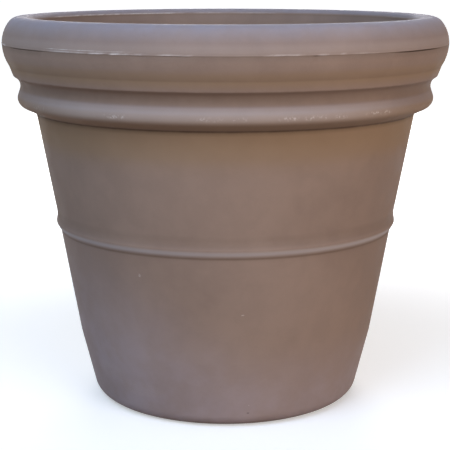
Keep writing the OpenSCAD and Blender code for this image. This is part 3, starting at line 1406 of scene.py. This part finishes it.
@dataclass
class PotShell:
    """The one-piece shell, hollow between its skins: wall, two rolls, mouth, planting space and base."""

    finish: Material
    drain: Drain
    wall: OuterWall = field(default_factory=OuterWall)
    bead: Bead = field(default_factory=Bead)
    lower: LowerRoll = field(default_factory=LowerRoll)
    upper: UpperRoll = field(default_factory=UpperRoll)
    inside: Inside = field(default_factory=Inside)
    base: Base = field(default_factory=Base)
    skin: float = 4 * MM
    steps: int = 320
    end_steps: tuple[float, ...] = (1.2 * MM, 2.6 * MM, 5 * MM)
    row_gap: float = 0.1 * MM
    # Radius of an edge that counts in full, and how far its rubbing, and its dirt and painted shade, spread
    edge_r: float = 3 * MM
    edge_spread: float = 1.1 * MM
    dirt_spread: float = 4.5 * MM
    cavity_steps: int = 120
    cavity_arc_step: float = 15.0

    NAME = "pot_shell"

    def __post_init__(self) -> None:
        """Take the overall sizes and the drain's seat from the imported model."""
        _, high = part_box(self.NAME)
        self.rim_r, self.top = high.x, high.z
        self.seam_h = self.top - self.upper.seam_drop
        self.hole_r = self.drain.bush_d / 2 + self.drain.bush_gap
        self.seat_r = self.drain.flange_d / 2 + self.drain.bush_gap

    def lower_wall(self, height: float) -> float:
        """Radius of the wall under the bead."""
        waist_h = self.bead.at + self.bead.nose_h
        return (self.wall.ground_d + (self.wall.waist_d - self.wall.ground_d) * height / waist_h) / 2

    def upper_wall(self, height: float) -> float:
        """Radius of the wall over the bead.

        Args:
            height: Height above the ground.

        Returns:
            The radius.
        """
        waist_h = self.bead.at + self.bead.nose_h
        share = (height - waist_h) / (self.top - self.lower.neck_drop - waist_h)
        return (self.wall.waist_d + (self.wall.neck_d - self.wall.waist_d) * share) / 2

    def base_path(self) -> list[Corner]:
        """Corners of the underside.

        Returns:
            The corners from the drain out to the standing ring.
        """
        base = self.base
        return [Corner(self.hole_r, base.recess_h),
                Corner(base.recess_d / 2 - base.recess_h * base.recess_slope, base.recess_h, base.recess_r),
                Corner(base.recess_d / 2, 0, base.ring_round)]

    def wall_path(self) -> list[Corner]:
        """Corners of the foot, the wall and the bead.

        Returns:
            The corners from the ground up.
        """
        wall, bead = self.wall, self.bead
        foot = self.lower_wall(wall.foot_h)
        return [Corner(foot - wall.foot_slope * wall.foot_h, 0, wall.foot_corner_r),
                Corner(foot, wall.foot_h, wall.foot_r),
                Corner(self.lower_wall(bead.at), bead.at, wall.crease_r),
                Corner(wall.waist_d / 2 + bead.out, bead.at + bead.nose_h, bead.nose_r),
                Corner(self.upper_wall(bead.at + bead.width), bead.at + bead.width, bead.hollow_r)]

    def mouth_path(self, trimmed: bool) -> list[Corner]:
        """Corners from the crest over the mouth's rounding into the inner wall.

        Args:
            trimmed: Whether the line shows along which the mouth was cut open, low on the rounding.

        Returns:
            The rounding, and the corner of the inner wall at the neck's height.
        """
        room = self.inside
        neck = Corner(self.wall.neck_d / 2 - room.neck_gap, self.top - self.lower.neck_drop)
        if not trimmed:
            return [Corner(room.mouth_d / 2, self.top, room.mouth_r), neck]
        lean = math.atan2(room.mouth_d / 2 - neck.r, self.top - neck.h)
        centre = Vector((room.mouth_d / 2 - room.mouth_r * math.tan(lean) + room.mouth_r / math.cos(lean),
                         self.top - room.mouth_r))
        upper, lower = room.trim_angle - room.trim_half, room.trim_angle + room.trim_half

        def on_arc(angle: float, out: float = 0.0) -> Corner:
            """A corner on the rounding, or out from it."""
            a = math.radians(angle)
            return Corner(centre.x + (room.mouth_r + out) * math.cos(a),
                          centre.y + (room.mouth_r + out) * math.sin(a))

        return [arc_corner(centre, room.mouth_r, 90, upper), on_arc(upper),
                on_arc(room.trim_angle, room.trim_out), on_arc(lower),
                arc_corner(centre, room.mouth_r, lower, 180 - math.degrees(lean)), neck]

    def seam_path(self, low_c: Vector, low_r: float, top_c: Vector, top_r: float) -> list[Corner]:
        """Corners of the upper roll round its seam: a fine groove, the flash over it and a second line above.

        Args:
            low_c: Centre of the arc below the seam.
            low_r: Its radius.
            top_c: Centre of the arc above the seam.
            top_r: Its radius.

        Returns:
            The corners from the arc below the seam to the arc above it.
        """
        up, seam_h = self.upper, self.seam_h
        plain = low_c.x + low_r
        below = -math.degrees(math.asin(up.seam_reach / low_r))
        above = math.degrees(math.asin((up.double_rise + up.double_half) / top_r))

        def over(rise: float, out: float = 0.0) -> Corner:
            """A corner above the seam, on the roll or out from it."""
            return Corner(top_c.x + math.sqrt(top_r ** 2 - rise ** 2) + out, seam_h + rise)

        return [arc_corner(low_c, low_r, -up.low_angle, below),
                Corner(low_c.x + low_r * math.cos(math.radians(below)), seam_h - up.seam_reach),
                Corner(plain - up.groove_deep, seam_h - up.groove_drop),
                Corner(plain, seam_h - up.groove_drop / 2),
                Corner(plain + up.flash_out, seam_h - up.flash_half),
                Corner(plain + up.flash_out, seam_h + up.flash_half),
                over(up.groove_drop / 2), over(up.double_rise - up.double_half),
                over(up.double_rise, up.double_out), over(up.double_rise + up.double_half),
                arc_corner(top_c, top_r, above, up.top_angle)]

    def rolls_path(self, seamed: bool) -> list[Corner]:
        """Corners of both rolls up to the crest.

        Args:
            seamed: Whether the seam shows. The roll is then smaller by the flash, which has its full size.

        Returns:
            The corners from the crease under the lower roll to the crest.
        """
        wall, low, up = self.wall, self.lower, self.upper
        low_c = Vector((self.rim_r - up.low_r, self.seam_h))
        top_c = Vector((self.rim_r - up.top_r, self.seam_h))
        shy = up.flash_out if seamed else 0.0
        low_r, top_r = up.low_r - shy, up.top_r - shy
        start, end = math.radians(-up.low_angle), math.radians(up.top_angle)
        first = low_c + low_r * Vector((math.cos(start), math.sin(start)))
        last = top_c + top_r * Vector((math.cos(end), math.sin(end)))
        crest_r = (self.top - last.y) / (1 - math.sin(end))
        crest_c = last - crest_r * Vector((math.cos(end), math.sin(end)))
        if seamed:
            roll = self.seam_path(low_c, low_r, top_c, top_r)
        else:
            roll = [arc_corner(low_c, low_r, -up.low_angle, 0), arc_corner(top_c, top_r, 0, up.top_angle)]
        return [Corner(wall.neck_d / 2, self.top - low.neck_drop, wall.crease_r),
                Corner(low.roll_d / 2, self.top - low.roll_drop, low.roll_r),
                Corner(low.throat_d / 2, self.top - low.throat_drop, low.throat_r),
                Corner(up.lip_d / 2, self.top - up.lip_drop, up.lip_r),
                Corner(first.x, first.y), *roll, arc_corner(crest_c, crest_r, up.top_angle, 90)]

    def inside_path(self, trimmed: bool) -> list[Corner]:
        """Corners of the mouth, the inner wall, the floor and the drain's seat.

        Args:
            trimmed: Whether the line shows along which the mouth was cut open.

        Returns:
            The corners from the crest down to the drain.
        """
        room, sump_h = self.inside, self.drain.sump_h
        return [*self.mouth_path(trimmed),
                Corner(room.floor_d / 2, room.floor_h, room.floor_r),
                Corner(room.sump_d / 2 + room.sump_slope, room.floor_h - room.floor_fall, room.sump_round),
                Corner(room.sump_d / 2, sump_h, room.sump_round),
                Corner(self.seat_r, sump_h),
                Corner(self.seat_r, self.drain.seat_h),
                Corner(self.hole_r, self.drain.seat_h)]

    def build(self) -> Object:
        """Model the shell.

        Returns:
            The dressed shell.
        """
        mesh = marked_mesh()
        path = self.base_path() + self.wall_path() + self.rolls_path(True) + self.inside_path(True)
        full = self.base_path() + self.wall_path() + self.rolls_path(False) + self.inside_path(False)
        skin = self._draw(Section(mesh, end_steps=self.end_steps), path)
        skin.mark_curves(self.edge_r, self.edge_spread, self.dirt_spread)
        cavity = self._draw(Section(mesh, self.cavity_arc_step, self.top), inset(full, self.skin))
        skin.spin(self.steps)
        cavity.spin(self.cavity_steps)
        self._shape_seam(mesh)
        self._shape_trim(mesh)
        self._mark_bands(mesh)
        self._close_base(mesh)
        return Piece(self.NAME, Body.POT, Slot.SHELL, self.finish).make(mesh)

    @staticmethod
    def _draw(section: Section, path: list[Corner]) -> Section:
        """Draw one face of the skins, all but the flat of its base.

        Args:
            section: The empty section.
            path: Its corners, of which the first and the last stand at the drain.

        Returns:
            The drawn section, open at the flat.
        """
        hole, rest = path[0], path[1:]
        flat_end = rest[0].r - 2 * rest[0].round
        section.follow([Corner(flat_end, hole.h), *rest, hole])
        return section

    def _close_base(self, mesh: BMesh) -> None:
        """Fill the flats of both skins of the base round the vent hole, and join them through it.

        Args:
            mesh: The spun shell.
        """
        base, vent = self.base, []

        def round_vent(angle: float) -> tuple[float, float]:
            """Place a point of the hole's edge."""
            return base.vent_at + base.vent_d / 2 * math.cos(angle), base.vent_d / 2 * math.sin(angle)

        for height in (base.recess_h, base.recess_h + self.skin):
            vent.append(ring(mesh, base.vent_steps, height, round_vent))
            close_flat(mesh, height)
        loft(mesh, vent)

    def _shape_seam(self, mesh: BMesh) -> None:
        """Trim the flash where it was cut off, and open the groove where the skins drew apart.

        Args:
            mesh: The spun shell.
        """
        up, near = self.upper, self.row_gap
        flash, slit = layers_of(mesh, Mark.FLASH, Mark.SLIT)
        for vert in mesh.verts:
            out, rise = vert.co.xy.length, vert.co.z - self.seam_h
            if out < self.rim_r - 2 * up.seam_reach or abs(rise) > up.double_rise + near:
                continue
            azimuth = azimuth_of(vert.co)
            left, gap = strongest(up.flash, azimuth), strongest(up.gaps, azimuth)
            left *= Tear.left(azimuth, rise)
            moved = 0.0
            if abs(rise) < up.flash_half + near:
                moved = up.flash_out * (1 - up.flash_least) * (1 - left)
                vert[flash] = left
            elif abs(rise) < up.groove_drop / 2 + near:
                vert[flash] = left * up.flash_foot
            elif abs(rise - up.double_rise) < near:
                second = strongest(up.doubles, azimuth) * Tear.left(azimuth, rise)
                moved = up.double_out * (1 - second)
                vert[flash] = second
            elif abs(rise + up.groove_drop) < near:
                moved = up.gap_deep * gap
                # The groove is painted dark as shade, most where it opens
                vert[slit] = clamp(up.gap_least + gap)
            elif rise < -up.groove_drop:
                vert.co.z -= up.gap_wide * gap
            vert.co.xy *= (out - moved) / out

    def _shape_trim(self, mesh: BMesh) -> None:
        """Leave the mouth's cut edge rough where it wasn't scraped clean.

        Args:
            mesh: The spun shell.
        """
        room = self.inside
        flash, = layers_of(mesh, Mark.FLASH)
        widest = room.mouth_d / 2 + room.mouth_r / 4
        rise = (room.mouth_r + room.trim_out) * math.sin(math.radians(room.trim_angle))
        line_h = self.top - room.mouth_r + rise
        for vert in mesh.verts:
            out = vert.co.xy.length
            if out > widest or abs(vert.co.z - line_h) > self.row_gap:
                continue
            azimuth = azimuth_of(vert.co)
            rough = strongest(room.trim, azimuth) * Tear.left(azimuth, 0.0)
            vert[flash] = rough
            vert.co.xy *= (out + room.trim_out * (1 - rough)) / out

    def _mark_bands(self, mesh: BMesh) -> None:
        """Mark the bands that are rubbed pale and carry a painted highlight, the bands of painted shade under
        the rolls, and where stacked pots scuff the lower roll.

        Args:
            mesh: The spun shell.
        """
        low, up, bead = self.lower, self.upper, self.bead
        roll_r, wall_r = low.throat_d / 2, self.lower_wall(bead.at)
        neck_r = (self.wall.neck_d - self.inside.neck_gap) / 2
        neck_h, nose_h = self.top - low.neck_drop, bead.at + bead.nose_h
        for band in (
                # Pale rubs that also carry a painted highlight
                Band(Mark.RUBBED, self.top - low.rub_drop, low.rub_half, low.rub_left, roll_r, low.rubs),
                Band(Mark.RUBBED, self.seam_h + up.rub_rise, up.rub_half, up.rub_left, roll_r),
                Band(Mark.RUBBED, nose_h - bead.rub_drop, bead.rub_half, bead.rub_left, wall_r),
                # Bands of painted shade under the rolls
                Band(Mark.UNFADED, neck_h - low.shade_drop, low.shade_half, low.shade_left, neck_r),
                Band(Mark.UNFADED, self.top - up.shade_drop, up.shade_half, up.shade_left, roll_r),
                Band(Mark.SCUFF, self.top - low.scuff_drop, low.scuff_half, 1.0, roll_r, low.scuffs,
                     power=2, reach=3.0)):
            layer, = layers_of(mesh, band.mark)
            for vert in mesh.verts:
                away = abs(vert.co.z - band.height) / band.half
                if vert.co.xy.length > band.least_r and away < band.reach:
                    shown = strongest(band.stretches, azimuth_of(vert.co))
                    vert[layer] = band.amount * math.exp(-away ** band.power) * shown


@dataclass
class DrainBush:
    """The flanged bush that the plug screws into."""

    finish: Material
    drain: Drain
    edge: float = 0.5 * MM
    collar: float = 0.5 * MM
    notch_deep: float = 1.6 * MM
    notch_half: float = 7.5
    arc_step: float = 15.0
    line_step: float = 2 * MM
    steps: int = 192

    NAME = "drain_bush"

    def build(self) -> Object:
        """Model the bush with its thread and the two notches of its flange.

        Returns:
            The dressed bush.
        """
        drain, mesh = self.drain, marked_mesh()
        inner = drain.bore_d / 2 + self.collar
        section = Section(mesh, self.arc_step, self.line_step)
        section.follow([Corner(inner, drain.recess_h), Corner(drain.bush_d / 2, drain.recess_h, self.edge),
                        Corner(drain.bush_d / 2, drain.seat_h),
                        Corner(drain.flange_d / 2, drain.seat_h, self.edge),
                        Corner(drain.flange_d / 2, drain.sump_h, self.edge), Corner(inner, drain.sump_h)])
        section.mark_curves()
        section.spin(self.steps)
        self._notch(mesh)
        drain.nut_thread().cut(mesh, drain.recess_h, drain.sump_h)
        for height in (drain.recess_h, drain.sump_h):
            close_flat(mesh, height)
        return Piece(self.NAME, Body.POT, Slot.FITTING, self.finish, FITTING_SHARP).make(mesh)

    def _notch(self, mesh: BMesh) -> None:
        """Press the two notches for a face spanner into the flange's edge.

        Args:
            mesh: The spun bush.
        """
        edge = self.drain.flange_d / 2
        for vert in mesh.verts:
            out = vert.co.xy.length
            across = abs((azimuth_of(vert.co) % 180) - 90)
            if out > edge - self.notch_deep and across < self.notch_half:
                vert.co.xy *= (edge - self.notch_deep) / out


@dataclass
class PlugSeal:
    """The flat rubber ring under the plug's head."""

    finish: Material
    width: float = 7 * MM
    round: float = 0.5 * MM
    arc_step: float = 18.0
    line_step: float = 3 * MM
    steps: int = 144

    NAME = "plug_seal"

    def build(self) -> Object:
        """Model the ring with rounded edges.

        Returns:
            The dressed seal.
        """
        low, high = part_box(self.NAME)
        outer = high.x
        inner = outer - self.width
        mesh = marked_mesh()
        section = Section(mesh, self.arc_step, self.line_step)
        section.follow([Corner(inner, low.z, self.round), Corner(outer, low.z, self.round),
                        Corner(outer, high.z, self.round), Corner(inner, high.z, self.round)], closed=True)
        section.spin(self.steps)
        return Piece(self.NAME, Body.CARRIER, Slot.SEAL, self.finish).make(mesh)


def rounded(height: float, radius: float, angles: Sequence[float]) -> list[tuple[float, float]]:
    """List the levels up a rounded edge.

    Args:
        height: Height at which the rounding ends.
        radius: Its radius.
        angles: Angles in degrees of the levels: 0 at its foot, 90 at its end.

    Returns:
        Height and inset of each level.
    """
    turns = [(math.sin(math.radians(a)), math.cos(math.radians(a))) for a in angles]
    return [(height - radius * (1 - up), radius * (1 - out)) for up, out in turns]


@dataclass
class DrainPlug:
    """The screw plug: a threaded shank, a scalloped head and a grip bar."""

    finish: Material
    drain: Drain
    tip: float = 0.8 * MM
    scallops: int = 12
    scallop_deep: float = 0.9 * MM
    scallop_power: int = 3
    head_edge: float = 0.5 * MM
    head_round: float = 1.1 * MM
    foot_round: float = 1.5 * MM
    top_round: float = 2.2 * MM
    head_steps: int = 192
    grip_steps: int = 64
    full_angle: float = 40.0
    # Angles in degrees of the levels of each rounding
    head_angles: tuple[float, ...] = (30, 60, 90)
    foot_angles: tuple[float, ...] = (90, 60, 30, 0)
    top_angles: tuple[float, ...] = (0, 22, 45, 68, 90)

    NAME = "drain_plug"

    def build(self) -> Object:
        """Model the plug, from the end of its shank up to the top of its grip.

        Returns:
            The dressed plug.
        """
        low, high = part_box(self.NAME)
        self.head_r = high.x
        self.end_h, self.top_h = low.z, high.z
        self.seat_h = self.drain.sump_h + self.drain.seal_t
        self.head_h = self.seat_h + self.drain.head_t
        mesh = marked_mesh()
        self._shank(mesh)
        self._head(mesh)
        self._grip(mesh)
        bmesh.ops.recalc_face_normals(mesh, faces=list(mesh.faces))
        mark_edges(mesh, math.radians(self.full_angle))
        return Piece(self.NAME, Body.PLUG, Slot.FITTING, self.finish, FITTING_SHARP).make(mesh)

    def _shank(self, mesh: BMesh) -> None:
        """Cut the thread, and draw its end in to a blunt tip.

        Args:
            mesh: Mesh that the shank is made in.
        """
        start = self.end_h + self.tip
        self.drain.plug_thread().cut(mesh, start, self.seat_h)
        rim = edges_at(mesh, start)
        grown = bmesh.ops.extrude_edge_only(mesh, edges=rim)["geom"]
        for vert in (v for v in grown if isinstance(v, BMVert)):
            out = vert.co.xy.length
            vert.co.xy *= (out - self.tip) / out
            vert.co.z = self.end_h
        close_flat(mesh, self.end_h)

    def _head(self, mesh: BMesh) -> None:
        """Loft the scalloped edge of the head between its two flats.

        Args:
            mesh: Mesh that the head is made in.
        """
        def scalloped(radius: float) -> Place:
            """Outline the scalloped edge at a radius."""
            def place(angle: float) -> tuple[float, float]:
                """Place a point of the outline at an angle."""
                bite = (0.5 + 0.5 * math.cos(self.scallops * angle)) ** self.scallop_power
                r = radius - self.scallop_deep * bite
                return r * math.cos(angle), r * math.sin(angle)
            return place

        levels = [(self.seat_h, self.head_edge), (self.seat_h + self.head_edge, 0.0),
                  (self.head_h - self.head_round, 0.0),
                  *rounded(self.head_h, self.head_round, self.head_angles)]
        loft(mesh, [ring(mesh, self.head_steps, h, scalloped(self.head_r - shy)) for h, shy in levels])
        close_flat(mesh, self.seat_h)

    def _grip(self, mesh: BMesh) -> None:
        """Loft the grip bar up from the head, with a fillet at its foot and a rounded top.

        Args:
            mesh: Mesh that the bar is made in.
        """
        half, radius = (self.drain.grip_l - self.drain.grip_t) / 2, self.drain.grip_t / 2

        def bar(shy: float) -> Place:
            """Outline the bar, inset by a distance."""
            def place(angle: float) -> tuple[float, float]:
                """Place a point of the outline at an angle."""
                return (math.copysign(half, math.cos(angle)) + (radius - shy) * math.cos(angle),
                        (radius - shy) * math.sin(angle))
            return place

        foot = rounded(0.0, self.foot_round, self.foot_angles)
        levels = [(self.head_h - h, -shy) for h, shy in foot]
        levels += rounded(self.top_h, self.top_round, self.top_angles)
        loft(mesh, [ring(mesh, self.grip_steps, h, bar(shy)) for h, shy in levels])
        close_flat(mesh, self.head_h)
        close_flat(mesh, self.top_h)


@dataclass
class VentPlug:
    """The small push-in plug that closes the shell's vent hole from below."""

    finish: Material
    shell: PotShell
    stem_gap: float = 0.05 * MM
    edge: float = 0.8 * MM
    cap_round: float = 0.4 * MM
    barb_out: float = 0.8 * MM
    barb_round: float = 0.1 * MM
    tip_round: float = 0.3 * MM
    dimple_r: float = 2.4 * MM
    dimple_deep: float = 0.7 * MM
    slot_half: float = 16.0
    slot_deep: float = 1.2 * MM
    arc_step: float = 15.0
    line_step: float = 2 * MM
    steps: int = 72

    NAME = "vent_plug"

    def build(self) -> Object:
        """Model the plug: dimpled cap, stem and barb.

        Returns:
            The dressed plug.
        """
        low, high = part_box(self.NAME)
        cap_r, at = (high.x - low.x) / 2, (high.x + low.x) / 2
        seat_h, stem_r = self.shell.base.recess_h, self.shell.base.vent_d / 2 - self.stem_gap
        barb_h = high.z - 2 * self.barb_out
        mesh = marked_mesh()
        section = Section(mesh, self.arc_step, self.line_step)
        section.follow([
            Corner(0, low.z + self.dimple_deep),
            Corner(self.dimple_r, low.z + self.dimple_deep, self.cap_round),
            Corner(self.dimple_r + self.dimple_deep, low.z, self.cap_round),
            Corner(cap_r - self.edge, low.z, self.edge), Corner(cap_r, low.z + self.edge, self.cap_round),
            Corner(cap_r, seat_h), Corner(stem_r, seat_h), Corner(stem_r, barb_h),
            Corner(stem_r + self.stem_gap + self.barb_out, barb_h, self.barb_round),
            Corner(stem_r - self.barb_out, high.z, self.tip_round), Corner(0, high.z)])
        section.mark_curves()
        section.spin(self.steps, about=(at, 0.0))
        self._slot(mesh, at, cap_r, seat_h)
        return Piece(self.NAME, Body.POT, Slot.FITTING, self.finish, FITTING_SHARP).make(mesh)

    def _slot(self, mesh: BMesh, at: float, cap_r: float, seat_h: float) -> None:
        """Press a slot for a blade into the cap's edge.

        Args:
            mesh: The spun plug.
            at: How far from the pot's axis the plug stands.
            cap_r: Radius of its cap.
            seat_h: Height of the cap's seat.
        """
        for vert in mesh.verts:
            from_axis = vert.co.xy - Vector((at, 0))
            if from_axis.length < cap_r - self.edge or vert.co.z > seat_h + NEAR:
                continue
            if abs(math.degrees(math.atan2(from_axis.y, from_axis.x))) < self.slot_half:
                vert.co.xy -= from_axis.normalized() * self.slot_deep


@dataclass(frozen=True)
class Lamp:
    """A soft lamp that faces the pot, out of the camera's sight.

    Attributes:
        name: Name of the lamp.
        azimuth: Where it stands round the pot, in degrees from the front.
        elevation: How high it stands, in degrees.
        away: Distance from the middle of the pot.
        size: Side of its square.
        power: Power in watts.
        tint: Its colour.
    """

    name: str
    azimuth: float
    elevation: float
    away: float
    size: float
    power: float
    tint: tuple[float, float, float]

    def place(self, target: Vector) -> Object:
        """Hang the lamp and turn it to the target.

        Args:
            target: The point that it faces.

        Returns:
            The lamp.
        """
        data = bpy.data.lights.new(self.name, "AREA")
        data.shape, data.size = "SQUARE", self.size
        data.energy, data.color = self.power, self.tint
        lamp = bpy.data.objects.new(self.name, data)
        turn, lift = math.radians(self.azimuth), math.radians(self.elevation)
        way = Vector((math.sin(turn) * math.cos(lift), -math.cos(turn) * math.cos(lift), math.sin(lift)))
        lamp.location = target + way * self.away
        lamp.rotation_euler = way.to_track_quat("Z", "Y").to_euler()
        lamp.visible_camera = False
        bpy.context.scene.collection.objects.link(lamp)
        return lamp


@dataclass
class Studio:
    """The floor, the lamps, the world and the camera."""

    lamps: tuple[Lamp, ...] = (
        Lamp("key", 37, 11, 2.5, 1.5, 38, (1.0, 0.86, 0.74)),
        Lamp("overhead", 0, 60, 2.3, 1.8, 23, (0.62, 0.74, 1.0)),
        Lamp("fill", -38, 36, 2.5, 1.8, 39, (0.60, 0.79, 1.0)),
        Lamp("back", 165, 40, 2.6, 1.6, 10, (1.0, 0.95, 0.90)),
        Lamp("rear", 180, 12, 2.8, 1.4, 46, (1.0, 0.96, 0.92)))
    middle: tuple[float, float, float] = (0.0, 0.0, 0.24)
    eye: tuple[float, float, float] = (-0.0005, -1.454, 0.4895)
    pitch: float = 11.53
    lens: float = 101.92
    sensor: float = 36.0
    floor_side: float = 40.0
    floor_drop: float = 0.05 * MM
    floor_tone: Colour = paint(0.74, 0.71, 0.70)
    seen_tone: Colour = (0.80, 0.80, 0.80, 1.0)
    sky_tone: Colour = (0.90, 0.95, 1.0, 1.0)
    sky_strength: float = 0.10
    floor_glow: tuple[float, float] = (0.39, 1.0)
    glow_reach: tuple[float, float] = (0.35, 1.2)

    def build(self) -> None:
        """Set the floor, hang the lamps, and place the camera."""
        self._floor()
        for lamp in self.lamps:
            lamp.place(Vector(self.middle))
            LOG.info("lamp %s: %g W", lamp.name, lamp.power)
        self._world()
        self._camera()

    @staticmethod
    def _surface(graph: Graph, kind: str, plain: Node, seen: Node) -> None:
        """Show another surface to the rays that look at the background than to those that light the pot.

        Args:
            graph: The graph of the floor or the world.
            kind: Name of its output node.
            plain: Shader that the pot is lit by.
            seen: Shader for the camera's rays, and for those that are mirrored or pass through.
        """
        path = graph.add("ShaderNodeLightPath").outputs
        looks = graph.math("ADD", path["Is Camera Ray"], path["Is Glossy Ray"])
        looks = graph.math("ADD", looks, path["Is Transmission Ray"], clamp=True)
        both = graph.add("ShaderNodeMixShader", {0: looks, 1: plain.outputs[0], 2: seen.outputs[0]})
        graph.feed(graph.tree.nodes[kind], "Surface", both.outputs[0])

    def _floor(self) -> None:
        """Lay the pale floor, which looks white and still takes the pot's shadow."""
        mesh = bmesh.new()
        bmesh.ops.create_grid(mesh, x_segments=1, y_segments=1, size=self.floor_side / 2)
        data = bpy.data.meshes.new("floor")
        mesh.to_mesh(data)
        mesh.free()
        floor = bpy.data.objects.new("floor", data)
        floor.location.z = -self.floor_drop
        bpy.context.scene.collection.objects.link(floor)
        material = bpy.data.materials.new("pale_floor")
        material.use_nodes = True
        graph = Graph(material.node_tree)
        material.node_tree.nodes.remove(material.node_tree.nodes["Principled BSDF"])
        matte = graph.add("ShaderNodeBsdfDiffuse", {"Color": self.floor_tone})
        lit = graph.add("ShaderNodeBsdfDiffuse", {"Color": self.seen_tone})
        away = graph.add("ShaderNodeVectorMath", {0: graph.point()}, operation="LENGTH").outputs["Value"]
        strength = graph.band(away, *self.glow_reach, self.floor_glow)
        glow = graph.add("ShaderNodeEmission", {"Color": WHITE, "Strength": strength})
        white = graph.add("ShaderNodeAddShader", {0: lit.outputs[0], 1: glow.outputs[0]})
        self._surface(graph, "Material Output", matte, white)
        data.materials.append(material)

    def _world(self) -> None:
        """Surround the studio with soft light that looks white behind the pot."""
        world = bpy.data.worlds.new("studio")
        bpy.context.scene.world = world
        world.use_nodes = True
        graph = Graph(world.node_tree)
        sky = world.node_tree.nodes["Background"]
        graph.feed(sky, "Color", self.sky_tone)
        graph.feed(sky, "Strength", self.sky_strength)
        white = graph.add("ShaderNodeBackground", {"Color": WHITE, "Strength": 1.0})
        self._surface(graph, "World Output", sky, white)

    def _camera(self) -> None:
        """Stand the camera where the photograph was taken from."""
        scene = bpy.context.scene
        data = bpy.data.cameras.new("camera")
        data.lens, data.sensor_width = self.lens, self.sensor
        camera = bpy.data.objects.new("camera", data)
        camera.location = self.eye
        camera.rotation_euler = (math.radians(90 - self.pitch), 0, 0)
        scene.collection.objects.link(camera)
        scene.camera = camera
        scene.view_settings.view_transform = "Standard"


def main() -> None:
    """Build the planter's pieces in order, and the studio round them."""
    logging.basicConfig(level=logging.INFO, format="%(name)s: %(message)s")
    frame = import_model()
    effects = Effects()
    resin, nylon, rubber = (f.build(effects) for f in (MouldedResin(), MouldedNylon(), SealRubber()))
    drain = Drain.of(frame["record"])
    shell = PotShell(resin, drain)
    for piece in (shell, DrainBush(nylon, drain), PlugSeal(rubber), DrainPlug(nylon, drain),
                  VentPlug(nylon, shell)):
        piece.build()
    Studio().build()


if __name__ == "__main__":
    main()
